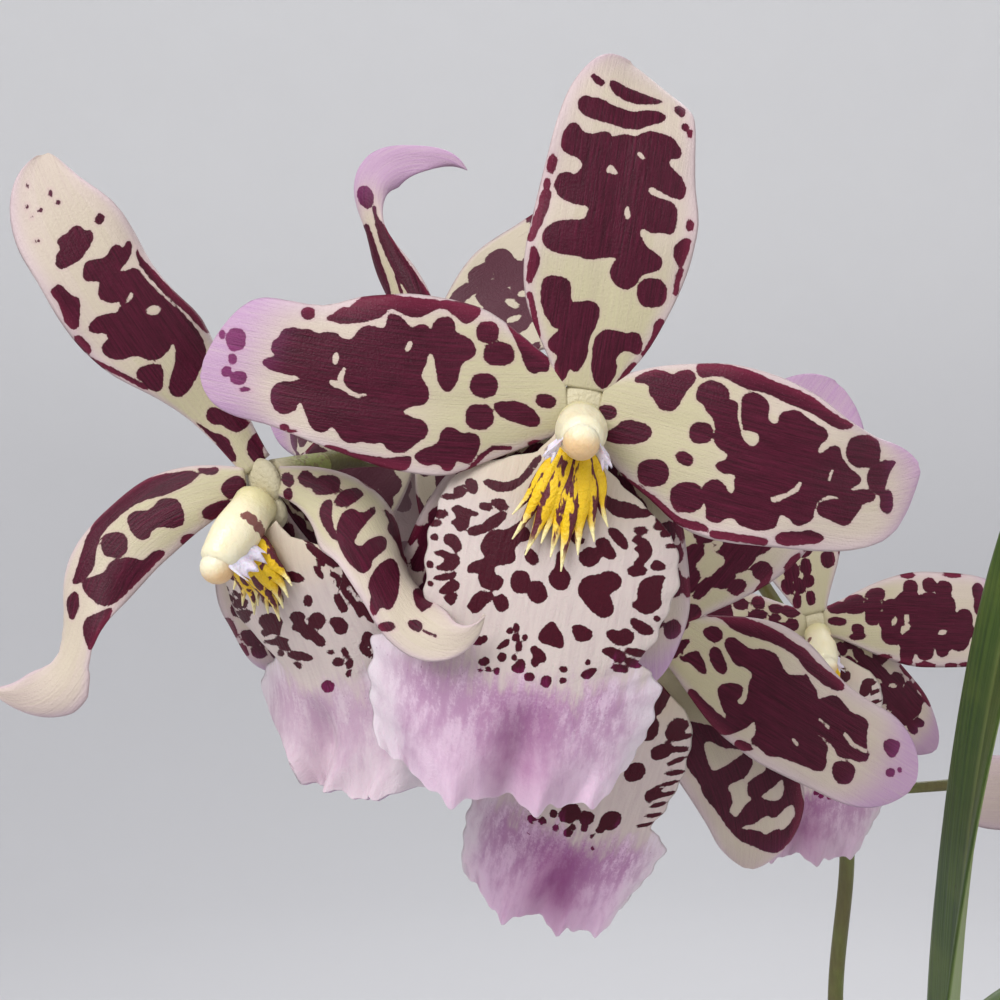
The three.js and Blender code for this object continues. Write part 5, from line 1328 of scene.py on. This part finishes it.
for bloom, place in BLOOM_PLACES.items():
    shells = Shells()
    drop = np.radians(BLOOM_FORMS[bloom].get("drop", COLUMN_DROP))
    rod = column_point(drop, np.linspace(0, ROD_END, 30))
    points, faces, held, turn = tube(rod, COLUMN_RADII, 32, 0.6)
    freckle = np.exp(-(((held - 0.4) / 0.1) ** 2)) * smooth(0.5, 0.9, np.abs(points[:, 0]) / 3.6)
    shells.add(placed(place, points), faces, 0, along=held, marks=1.6 * freckle - 0.8)
    points, faces = ball([0, 0, 0], CAP_RADII, 20, 32)
    # How high a point lies on the cap, which sets its painted highlight.
    upper = smooth(-0.1, 0.9, points[:, 2] / CAP_RADII[2])
    points = points @ turn_about(0, np.degrees(drop)).T + column_point(drop, CAP_AT) - [0, 0, CAP_SINK]
    shells.add(placed(place, points), faces, 1, along=upper)
    for hand in (-1, 1):
        points, faces = thin_sheet(*wing_grid(drop, hand), SHEET_THICK)
        shells.add(placed(place, points), faces, 2)
    name = f"bloom_{bloom}_column"
    shells.make(name, [column_paint, cap_paint, wing_paint], [name])

# Flower stem: a green wiry stem grown from the lead bulb that arches forward and branches into a
# short stalk for each bloom, with a small papery bract clasping it at each joint. A stalk is (its
# place along the stem, how far behind the bloom it bends in mm).
STEM_LINE = [
    (0, -12, 102), (0, -13, 150), (-3, -17, 245), (-10, -32, 345), (-15, -45, 411),
    (-14, -55, 457), (-20, -56, 495), (-36, -54, 523), (-52, -70, 543), (-61, -95, 550),
    (-69, -130, 551), (-77, -170, 549), (-97, -197, 552), (-124, -203, 555),
]
STEM_RADII = [2.6, 2.6, 2.5, 2.4, 2.3, 2.2, 2.1, 2, 1.9, 1.8, 1.7, 1.6, 1.4, 1.1]
STALK_RADII = [1.3, 1.5, 1.5, 1.9]
STALKS = {
    "a": (0.9, 14), "b": (0.955, 7), "c": (0.935, 6), "d": (0.86, 12), "f": (0.66, 10), "g": (0.59, 18),
}
BRACT_PLACES = [0.14, 0.33, 0.6, 0.87]
STEM_STEPS = 400
STALK_STEPS = 24
BRACT_MESH = (24, 15)
BRACT_LENGTH = 11
BRACT_SINK = 1

stem_paint = Material("stem", {"Roughness": 0.45, "Coat Weight": 0.1, "Coat Roughness": 0.3})
m = stem_paint
place = m.place()
streaks = m.noise(place.scaled(1.6, 1.6, 0.12), 0.9, 3)
flush = m.noise(place, 0.05, 3)
green = m.mix(streaks, rgb(128, 146, 62), rgb(88, 108, 42))
m.set(base_color=m.mix((flush + m.attribute("flush") * 0.35).step(0.5, 0.8) * 0.6, green, rgb(96, 62, 50)),
      roughness=0.42 + streaks * 0.15)
m.bump(streaks * 0.6 + m.noise(place, 1.8, 2) * 0.4, 0.0003)
bract_paint = Material("bract", {"Roughness": 0.7, "Subsurface Weight": 0.1, "Subsurface Scale": 0.001})
m = bract_paint
place = m.place()
fibre = m.noise(place.scaled(2.5, 2.5, 0.3), 1.0, 3)
m.set(base_color=m.mix(fibre, rgb(178, 160, 108), rgb(126, 110, 66)))
m.bump(fibre, 0.0004)

stem_curve = spline(STEM_LINE, STEM_STEPS)
shells = Shells()
points, faces, held, turn = tube(stem_curve, STEM_RADII, 20)
shells.add(points, faces, 0, flush=held)
for bloom, (start_at, bend_at) in STALKS.items():
    start = stem_curve[round(start_at * STEM_STEPS)]
    end, near, far = (placed(BLOOM_PLACES[bloom], np.array([0, OVARY_LENGTH + d, 0]))
                      for d in (0.5, 4, bend_at))
    t = np.linspace(0, 1, STALK_STEPS)[:, None]
    middle = (start + far) / 2
    bow = start * (1 - t)**3 + 3 * middle * t * (1 - t)**2 + 3 * far * t**2 * (1 - t) + near * t**3
    points, faces, held, turn = tube(spline(np.vstack([bow[::4], [near], [end]]), 40), STALK_RADII, 16)
    shells.add(points, faces, 0, flush=0.3 + 0.7 * held)
for s in BRACT_PLACES:
    at = round(s * STEM_STEPS)
    ahead = stem_curve[at + 1] - stem_curve[at - 1]
    ahead /= np.linalg.norm(ahead)
    side = np.cross(ahead, [0.3, 1, 0.2])
    side /= np.linalg.norm(side)
    out = np.cross(side, ahead)
    t = np.linspace(0, 1, BRACT_MESH[0])[:, None, None]
    v = np.linspace(-1, 1, BRACT_MESH[1])[None, :, None]
    half = 3.0 * (1 - t**2) + 0.25
    grid = (stem_curve[at] + ahead * (t * BRACT_LENGTH - BRACT_SINK) + side * (half * v)
            + out * (2.4 + 2.0 * t**2 - 1.9 * v**2 * (1 - t**2)))
    points, faces = thin_sheet(grid, out, SHEET_THICK)
    shells.add(points, faces, 1)
shells.make("flower_stem", [stem_paint, bract_paint], ["flower_stem"])

# Tip bud: the last bud of the spray, still closed on the end of the stem, a small fleshy ribbed egg,
# green and flushed with maroon. BUD_LINE is from and to in millimetres beyond the stem.
BUD_LINE = (0.8, 9.6)
BUD_RADII = [1.0, 2.2, 3.0, 3.0, 2.6, 1.7, 0.7]
BUD_RIB = 0.08

bud_paint = Material("bud", {"Roughness": 0.5, "Subsurface Weight": 0.1, "Subsurface Scale": 0.002})
m = bud_paint
place = m.place()
m.set(base_color=m.mix(m.noise(place, 0.5, 3).step(0.45, 0.6) * 0.8, rgb(160, 160, 88), rgb(104, 46, 60)))
m.bump(m.noise(place, 1.4, 3), 0.0003)

ahead = stem_curve[-1] - stem_curve[-2]
ahead /= np.linalg.norm(ahead)
bud_line = stem_curve[-1] + np.linspace(*BUD_LINE, 40)[:, None] * ahead
points, faces, held, turn = tube(bud_line, BUD_RADII, 36, 0.5)
axis_point = stem_curve[-1] + np.outer((points - stem_curve[-1]) @ ahead, ahead)
rib = 1 - BUD_RIB * np.abs(np.cos(1.5 * turn)) ** 0.5
points = axis_point + (points - axis_point) * rib[:, None]
shells = Shells()
shells.add(points, faces, 0)
shells.make("tip_bud", [bud_paint], ["tip_bud"])

# Pseudobulbs: flattened green storage bulbs of firm flesh with shallow ribs, wide along X, that stand
# with their feet in the bark. The profile is (share of the height, share of the width).
BULBS = {
    "bulb_lead": dict(at=[24, -30], wide=42, deep=23, top=205),
    "bulb_second": dict(at=[0, 9], wide=42, deep=22, top=198),
    "bulb_back": dict(at=[-37, 26], wide=33, deep=18, top=168),
}
BULB_FOOT = 100
BULB_PROFILE = [(0, 0.55), (0.12, 0.82), (0.3, 1), (0.5, 0.96), (0.7, 0.76), (0.87, 0.48), (1, 0.2)]
BULB_ROWS = 72
BULB_SIDES = 90
BULB_RIB = 0.9

bulb_paint = Material("bulb", {"Roughness": 0.38, "Coat Weight": 0.12, "Coat Roughness": 0.25})
m = bulb_paint
place = m.place()
streaks = m.noise(place.scaled(1, 1, 0.08), 0.7, 3)
blush = m.noise(place, 0.05, 3)
green = m.mix(streaks, rgb(132, 150, 66), rgb(92, 116, 44))
# Darker green in the sunken furrows between the ribs: painted shade.
green = m.mix(m.attribute("ribs") * 0.45, green, rgb(70, 92, 38))
green = m.mix((blush + (0.2 - m.attribute("along")) * 0.8).step(0.5, 0.75) * 0.7, green, rgb(134, 112, 60))
specks = (0.1 - m.cells(place, 0.35)).step(0, 0.05)
m.set(base_color=m.mix(specks * 0.5, green, rgb(84, 60, 36)), roughness=0.36 + streaks * 0.2)
m.bump(streaks * 0.4 + m.noise(place, 1.0, 3) * 0.4 - specks * 0.3, 0.0004)


def bulb_surface(bulb, s, turn, grow):
    """A point of a bulb: an ellipse in plan, scaled by the profile up its height."""
    spots, sizes = np.array(BULB_PROFILE).T
    fine = np.linspace(0, 1, 60)
    kernel = np.array([1, 2, 3, 4, 3, 2, 1]) / 16
    eased = np.convolve(np.pad(np.interp(fine, spots, sizes), 3, mode="edge"), kernel, "valid")
    r = np.interp(s, fine, eased)
    return vectors(
        bulb["at"][0] + (bulb["wide"] / 2 * r + grow) * np.cos(turn),
        bulb["at"][1] + (bulb["deep"] / 2 * r + grow) * np.sin(turn),
        BULB_FOOT + (bulb["top"] - BULB_FOOT) * s)


s = np.linspace(0, 1, BULB_ROWS)[:, None]
turn = np.linspace(0, 2 * np.pi, BULB_SIDES, endpoint=False)[None]
rib = np.abs(np.sin(5 * turn + 0.4 * np.sin(3 * turn))) ** 0.7
sunk = (1 - rib) * smooth(0.04, 0.2, s) * (1 - smooth(0.72, 0.98, s))
for name, bulb in BULBS.items():
    rings = bulb_surface(bulb, s, turn, -BULB_RIB * sunk - 0.1)
    points, faces = rings_closed(rings, [*bulb["at"], BULB_FOOT - 0.4], [*bulb["at"], bulb["top"] + 0.3])
    shells = Shells()
    # ribs holds how deep each point lies in a furrow, which sets the painted shade there.
    shells.add(points, faces, 0, ribs=np.append(sunk.ravel(), [0, 0]),
               along=np.append(np.repeat(s, BULB_SIDES), [0, 1]))
    shells.make(name, [bulb_paint], [name])

# Sheaths: dry papery leaf bases, fibrous, with a torn top. Each is grown round one edge of its bulb:
# (bulb, middle and half spread of the wrap in degrees, share of the bulb's height).
SHEATH_GAP = 1.25
SHEATH_FOOT = 113.5
SHEATH_ROWS = 28
SHEATH_COLUMNS = 89
SHEATHS = {
    "sheath_lead": ("bulb_lead", 0, 100, 0.62),
    "sheath_second": ("bulb_second", 180, 105, 0.55),
    "sheath_back": ("bulb_back", 180, 110, 0.7),
}
sheath_paint = Material("sheath", {"Roughness": 0.8, "Subsurface Weight": 0.05, "Subsurface Scale": 0.001})
m = sheath_paint
blade = m.attribute("blade", "Vector")
fibre = m.noise(blade.scaled(0.06, 1.6, 1), 1.0, 4, 0.6)
stain = m.noise(blade, 0.12, 3)
paper = m.mix(fibre.step(0.3, 0.7), rgb(196, 176, 132), rgb(142, 118, 78))
paper = m.mix(stain.step(0.5, 0.72) * 0.6, paper, rgb(104, 78, 52))
m.set(base_color=m.mix(m.attribute("along").step(0.75, 1.0) * 0.5, paper, rgb(120, 94, 62)))
m.bump(fibre, 0.0006)

for name, (owner, middle, spread, rise) in SHEATHS.items():
    bulb = BULBS[owner]
    foot = (SHEATH_FOOT - BULB_FOOT) / (bulb["top"] - BULB_FOOT)
    v = np.linspace(-1, 1, SHEATH_COLUMNS)[None]
    t = np.linspace(0, 1, SHEATH_ROWS)[:, None]
    torn = 0.03 * np.abs(np.sin(17 * v)) * np.abs(np.sin(41 * v + 1)) + 0.02 * np.sin(63 * v)
    s = foot + t * rise * (1 - 0.55 * np.abs(v) ** 1.5 - torn * smooth(0.6, 1, t) - 0.02)
    turn = np.radians(middle + spread * v * (1 - 0.35 * t))
    grid = bulb_surface(bulb, s, turn, SHEATH_GAP + 1.5 * t**3 + 0.25 * t * np.sin(9 * v))
    out = vectors(np.cos(turn), np.sin(turn), 0)
    points, faces = thin_sheet(grid, out, SHEET_THICK)
    flat = vectors(t * 60, v * spread * 0.3, 0).reshape(-1, 3)
    shells = Shells()
    shells.add(points, faces, 0, blade=np.tile(flat, (2, 1)),
               along=np.tile(np.repeat(t, SHEATH_COLUMNS), 2))
    shells.make(name, [sheath_paint], [name])

# Leaves: thin leathery straps folded along the midrib, dark green with fine parallel veins, paler
# beneath, each grown from the top or the foot of its bulb. "turn" is the compass direction, "rise"
# the slope and "roll" the turn about the length.
LEAF = dict(wide=38, fold=30, roll=0, neck=0.4)
LEAF_THICK = 1.4
LEAVES = {
    "leaf_lead_tall": dict(start=[21.5, -30, 203.5], turn=[249, 254, 266, 300], rise=[69, 70, 70, 68],
                           roll=86, fold=19, long=395, wide=34),
    "leaf_lead_right": dict(start=[26.8, -30, 203.2], turn=[0, -8, -14], rise=[72, 50, 20, -12, -40],
                            long=330),
    "leaf_lead_outer": dict(start=[47.5, -28, 108], turn=[-10, -20, -24], rise=[88, 70, 40, 4, -32],
                            long=290),
    "leaf_lead_inner": dict(start=[0.5, -34, 108], turn=[215, 222, 226], rise=[86, 66, 40, 10, -24],
                            long=270, wide=30),
    "leaf_second_left": dict(start=[-3, 9, 196.5], turn=[176, 168, 160], rise=[74, 54, 30, 2, -30],
                             long=340),
    "leaf_second_right": dict(start=[3, 9, 196.5], turn=[60, 48, 40], rise=[78, 62, 38, 6, -25],
                              long=320),
    "leaf_second_outer": dict(start=[-23.5, 6, 108], turn=[188, 196, 200], rise=[84, 66, 42, 10, -28],
                              long=300, wide=32),
    "leaf_new_tall": dict(start=[41, 8, 108], turn=[80, 62, 50], rise=[80, 66, 40, 14], long=210,
                          wide=26),
    "leaf_new_right": dict(start=[48, 12, 108], turn=[10, 16, 20], rise=[72, 50, 24], long=140,
                           wide=22),
    "leaf_new_left": dict(start=[37, 16, 108], turn=[110, 124, 132], rise=[76, 58, 36], long=120,
                          wide=20),
}
LEAF_STEPS = 64
LEAF_MESH = (76, 20)

leaf_paint = Material("leaf", {"Roughness": 0.45, "Specular IOR Level": 0.3, "Coat Weight": 0.05,
                               "Coat Roughness": 0.3, "Subsurface Weight": 0.05, "Subsurface Scale": 0.002,
                               "Subsurface Radius": (0.4, 1.0, 0.2)})
m = leaf_paint
blade = m.attribute("blade", "Vector")
veins = m.noise(blade.scaled(0.01, 1.0, 1), 1.0, 3, 0.6)
fine = m.noise(blade.scaled(0.04, 3.4, 1), 1.0, 2)
cloud = m.noise(blade, 0.05, 3)
green = m.mix(veins.step(0.3, 0.7), rgb(44, 70, 22), rgb(74, 98, 34))
green = m.mix(cloud.step(0.4, 0.75) * 0.4, green, rgb(112, 126, 54))
green = m.mix(m.attribute("midrib") * 0.5, green, rgb(138, 150, 82))
green = m.mix(m.attribute("along").step(0.93, 1.0) * 0.7, green, rgb(132, 104, 56))
specks = (0.12 - m.cells(blade, 0.22)).step(0, 0.05) * cloud.step(0.5, 0.6)
green = m.mix(specks * 0.6, green, rgb(46, 40, 20))
under = m.mix(veins, rgb(108, 130, 66), rgb(136, 152, 88))
m.set(base_color=m.mix(m.attribute("behind"), green, under), roughness=0.36 + fine * 0.2)
m.bump(veins * 0.5 + fine * 0.3 + cloud * 0.3, 0.0004)


def leaf_half(spec, s):
    """Half the width: an easy widening from the folded root, then a long taper to the tip."""
    narrow = spec["neck"] + (1 - spec["neck"]) * smooth(0, 0.4, s)
    taper = (1 - np.clip((s - 0.35) / 0.65, 0, 1) ** 2.4) ** 0.75
    return spec["wide"] / 2 * narrow * np.maximum(taper, 0.02)


def leaf_heading(spec, s):
    """The direction of a leaf's midrib: (cos rise cos turn, cos rise sin turn, sin rise)."""
    turn, rise = np.radians(keyed(spec["turn"], s)), np.radians(keyed(spec["rise"], s))
    return vectors(np.cos(rise) * np.cos(turn), np.cos(rise) * np.sin(turn), np.sin(rise))


def leaf_surface(spec, s, v):
    """A strap along the sum of its headings. Its halves rise by |v| sin(fold)."""
    midrib = run_along(lambda x: leaf_heading(spec, x), spec["long"], LEAF_STEPS, spec["start"])
    ahead = leaf_heading(spec, s)
    turn = np.radians(keyed(spec["turn"], s))
    level = vectors(-np.sin(turn), np.cos(turn), 0)
    roll = np.radians(keyed(spec["roll"], s))[..., None]
    side = level * np.cos(roll) + np.cross(ahead, level) * np.sin(roll)
    upper = np.cross(ahead, side)
    fold = np.radians(spec["fold"] * (1.6 - s))
    half = leaf_half(spec, s)
    bow = np.sqrt(v**2 + 0.004) - 0.06
    wave = 0.5 * np.sin(20 * s + 2 * np.sign(v)) * v**4 * smooth(0.2, 0.5, s)
    return (midrib(s) + side * (v * half * np.cos(fold))[..., None]
            + upper * (bow * half * np.sin(fold) + wave)[..., None], upper)


for number, (name, given) in enumerate(LEAVES.items()):
    spec = {**LEAF, **given}
    points, faces, s, v, face = blade_shell(leaf_surface, spec, LEAF_THICK, *LEAF_MESH, 1.0)
    half = leaf_half(spec, s)
    shells = Shells()
    shells.add(points, faces, 0, along=s, behind=face < 0, midrib=np.exp(-((v * half / 0.8) ** 2)),
               blade=vectors(s * spec["long"], v * half, 60.0 * number))
    shells.make(name, [leaf_paint], [name])

# Pot: thrown clay with a collar at the rim and four drain holes cut in its floor, fired and left
# unglazed. It stands on the floor and holds the bark.
POT_HEIGHT = 130
POT_RIM_RADIUS = 74
POT_FOOT_RADIUS = 52
POT_WALL = 6
POT_FLOOR = 7
RIM_HEIGHT = 24
RIM_STEP = 4
DRAIN_RADIUS = 5
DRAIN_RING = 26
POT_SIDES = 160
ROUNDING = 1.2
PROFILE_EDGE_STEPS = 8
PROFILE_ARC_STEPS = 6
DRAIN_COUNT = 4
CUTTER_REACH = 5

pot_paint = Material("pot", {"Roughness": 0.85, "Specular IOR Level": 0.3})
m = pot_paint
place = m.place()
rings = m.noise(place.scaled(0.02, 0.02, 1), 0.7, 3)
cloud = m.noise(place, 0.03, 4, 0.6)
grit = m.noise(place, 1.6, 4, 0.7)
clay = m.mix(cloud.step(0.3, 0.7), rgb(184, 104, 66), rgb(200, 126, 86))
clay = m.mix((grit - 0.5).step(0.05, 0.2) * 0.5, clay, rgb(150, 78, 48))
clay = m.mix((0.5 - grit).step(0.08, 0.2) * 0.4, clay, rgb(222, 164, 128))
chalk = (cloud + m.attribute("low") * 0.4).step(0.55, 0.85)
clay = m.mix(chalk * 0.5, clay, rgb(226, 200, 178))
# The inner wall and floor are painted darker: painted shade inside the pot.
clay = m.mix(m.attribute("inside") * 0.35, clay, rgb(120, 72, 48))
m.set(base_color=clay, roughness=0.8 + (grit - 0.5) * 0.2)
m.bump(rings * 0.6 + grit * 0.35, 0.0006)


def pot_outer(z):
    """The outer radius of the tapered wall at height z."""
    return POT_FOOT_RADIUS + (POT_RIM_RADIUS - RIM_STEP - POT_FOOT_RADIUS) * z / POT_HEIGHT


def rounded_profile(corners, radius):
    """A profile through corners whose turns are eased: each edge is read at even steps, and each
    corner is replaced by a short arc a (1 - t)**2 + 2 corner t (1 - t) + b t**2."""
    corners = np.array(corners, float)
    made = [corners[:1]]
    for before, here, after in zip(corners[:-2], corners[1:-1], corners[2:]):
        reach_in = min(radius, np.linalg.norm(here - before) * 0.45)
        reach_out = min(radius, np.linalg.norm(after - here) * 0.45)
        a = here + (before - here) / np.linalg.norm(before - here) * reach_in
        b = here + (after - here) / np.linalg.norm(after - here) * reach_out
        t = np.linspace(0, 1, PROFILE_ARC_STEPS)[:, None]
        arc = a * (1 - t)**2 + 2 * here * t * (1 - t) + b * t**2
        run = np.linspace(0, 1, PROFILE_EDGE_STEPS, endpoint=False)[1:, None]
        made += [made[-1][-1] + (a - made[-1][-1]) * run, arc]
    return np.vstack([*made, corners[-1:]])


collar = POT_HEIGHT - RIM_HEIGHT
profile = rounded_profile([
    (0.5, 0), (POT_FOOT_RADIUS, 0), (pot_outer(collar), collar),
    (pot_outer(collar) + RIM_STEP, collar + 1.5), (POT_RIM_RADIUS - 0.8, POT_HEIGHT),
    (pot_outer(POT_HEIGHT) - POT_WALL, POT_HEIGHT), (pot_outer(POT_FLOOR) - POT_WALL, POT_FLOOR),
    (0.5, POT_FLOOR),
], ROUNDING)
turn = np.linspace(0, 2 * np.pi, POT_SIDES, endpoint=False)
rings = vectors(profile[:, :1] * np.cos(turn), profile[:, :1] * np.sin(turn), profile[:, 1:])
points, faces = rings_closed(rings, [0, 0, 0], [0, 0, POT_FLOOR])
# The inside of the wall and floor, which takes the painted shade.
inside = np.linalg.norm(points[:, :2], axis=1) < pot_outer(points[:, 2]) - POT_WALL + 0.5
shells = Shells()
shells.add(points, faces, 0, low=1 - smooth(0, 45, points[:, 2]), inside=inside & (points[:, 2] > 1))
pot = shells.make("pot", [pot_paint], ["pot"])

# The drain holes are cut by rods that stand CUTTER_REACH out of both faces of the floor.
drain_turns = np.pi / 4 + 2 * np.pi / DRAIN_COUNT * np.arange(DRAIN_COUNT)
ring = vectors(DRAIN_RADIUS * np.cos(turn[::4]), DRAIN_RADIUS * np.sin(turn[::4]), 0)
heights = np.array([[0, 0, -CUTTER_REACH], [0, 0, POT_FLOOR + CUTTER_REACH]])
cutter_points, cutter_faces = [], []
for order, drain_turn in enumerate(drain_turns):
    centre = DRAIN_RING * np.array([np.cos(drain_turn), np.sin(drain_turn), 0])
    points, faces = rings_closed(centre + ring[None] + heights[:, None], centre + heights[0],
                                 centre + heights[1])
    for group in faces:
        cutter_faces += (group + order * len(points)).tolist()
    cutter_points.append(points)
cutter_mesh = bpy.data.meshes.new("drain_cutter")
cutter_mesh.from_pydata(np.vstack(cutter_points) / 1000, [], cutter_faces)
cutter = bpy.data.objects.new("drain_cutter", cutter_mesh)
bpy.context.scene.collection.objects.link(cutter)
cut = pot.modifiers.new("drains", "BOOLEAN")
cut.operation = "DIFFERENCE"
cut.object = cutter
cut.solver = "EXACT"
bpy.context.view_layer.update()
graph = bpy.context.evaluated_depsgraph_get()
pot_mesh = bpy.data.meshes.new_from_object(pot.evaluated_get(graph), depsgraph=graph)
pot.modifiers.clear()
pot.data = pot_mesh
bpy.data.objects.remove(cutter)

# Bark: chunks of coarse fir bark heaped loose round the bulbs, filling the pot below the rim. A heap
# of plain bark fills the pot, and the chunks that show lie on it in a spiral of even steps.
BARK_TOP = 112
BARK_SEED = 11
HEAP_DROP = 8
HEAP_SIDES = 72
CHIP_COUNT = 420
CHIP_CUTS = 3
CHIP_POWER = 5
CHIP_SIZES = ([5.5, 3.5, 1.6], [10, 6.5, 3.4])
CHIP_TILT = 38
SPIRAL_STEP = 2.39996

bark_paint = Material("bark", {"Roughness": 0.9, "Specular IOR Level": 0.25})
m = bark_paint
place = m.place()
tone = m.attribute("tone")
layers = m.noise(place.scaled(0.35, 0.35, 1.5), 0.9, 4, 0.65)
rough = m.noise(place, 0.7, 4, 0.7)
brown = m.mix(tone, rgb(74, 46, 30), rgb(138, 92, 58))
brown = m.mix(layers.step(0.35, 0.7) * 0.6, brown, rgb(52, 32, 22))
brown = m.mix((rough - 0.55).step(0, 0.15) * 0.5, brown, rgb(166, 124, 84))
m.set(base_color=brown)
m.bump(layers * 0.6 + rough * 0.6, 0.0012)

random = np.random.default_rng(BARK_SEED)
inner = pot_outer(BARK_TOP - 6) - POT_WALL - 0.9
heap_radii = np.concatenate([[0.02, 0.1], np.linspace(0.18, 1, 16)])[:, None] * inner
heap_turns = np.linspace(0, 2 * np.pi, HEAP_SIDES, endpoint=False)[None]
heap_x, heap_y = heap_radii * np.cos(heap_turns), heap_radii * np.sin(heap_turns)
heap_rise = BARK_TOP - HEAP_DROP + 2.2 * np.sin(0.23 * heap_x + 1) * np.cos(0.27 * heap_y)
low = POT_FLOOR + 3.5
foot_radius = pot_outer(low) - POT_WALL - 1.9
foot = vectors(foot_radius * np.cos(heap_turns), foot_radius * np.sin(heap_turns), low)
rings = np.concatenate([foot, vectors(heap_x, heap_y, heap_rise)[::-1]])
points, faces = rings_closed(rings, [0, 0, low], [0, 0, heap_rise[0].mean()])
shells = Shells()
shells.add(points, faces, 0, tone=np.full(len(points), 0.1))

# One chip is a box cut CHIP_CUTS times each way. A norm of power CHIP_POWER rounds its corners.
edge = np.linspace(-1, 1, CHIP_CUTS + 1)
a, b = np.meshgrid(edge, edge, indexing="ij")
sides = [np.stack(np.roll([a, b, np.full_like(a, sign)], axis, axis=0), -1) for axis in range(3)
         for sign in (-1, 1)]
flat = np.vstack([side.reshape(-1, 3) for side in sides])
corners, back = np.unique(np.round(flat, 6), axis=0, return_inverse=True)
back = back.reshape(-1)
grid = np.arange((CHIP_CUTS + 1)**2).reshape(CHIP_CUTS + 1, CHIP_CUTS + 1)
quad = vectors(grid[:-1, :-1], grid[1:, :-1], grid[1:, 1:], grid[:-1, 1:]).reshape(-1, 4)
chip_faces = np.vstack([back[(quad if sign > 0 else quad[:, ::-1]) + order * (CHIP_CUTS + 1)**2]
                        for order, sign in enumerate((-1, 1) * 3)])
chip = corners / np.linalg.norm(corners, ord=CHIP_POWER, axis=1, keepdims=True)
for i in range(CHIP_COUNT):
    reach = (inner - 5) * np.sqrt((i + 0.5) / CHIP_COUNT)
    round_turn = i * SPIRAL_STEP + random.uniform(-0.2, 0.2)
    size = random.uniform(*CHIP_SIZES)
    shape = chip * size * (1 + 0.16 * np.sin(3.1 * corners[:, [1, 2, 0]] + random.uniform(0, 6, 3)))
    shape[:, 0] *= 1 + 0.3 * random.uniform(-1, 1) * corners[:, 1]
    turn = (turn_about(2, random.uniform(0, 360)) @ turn_about(0, random.uniform(-CHIP_TILT, CHIP_TILT))
            @ turn_about(1, random.uniform(-CHIP_TILT, CHIP_TILT)))
    rise = BARK_TOP - 6.5 + random.uniform(0, 6) - 2.5 * (reach / inner) ** 4
    centre = [reach * np.cos(round_turn), reach * np.sin(round_turn), rise]
    shells.add(shape @ turn.T + centre, [chip_faces], 0,
               tone=np.full(len(shape), random.uniform(0, 1)))
shells.make("bark", [bark_paint], ["bark"], smooth=False)
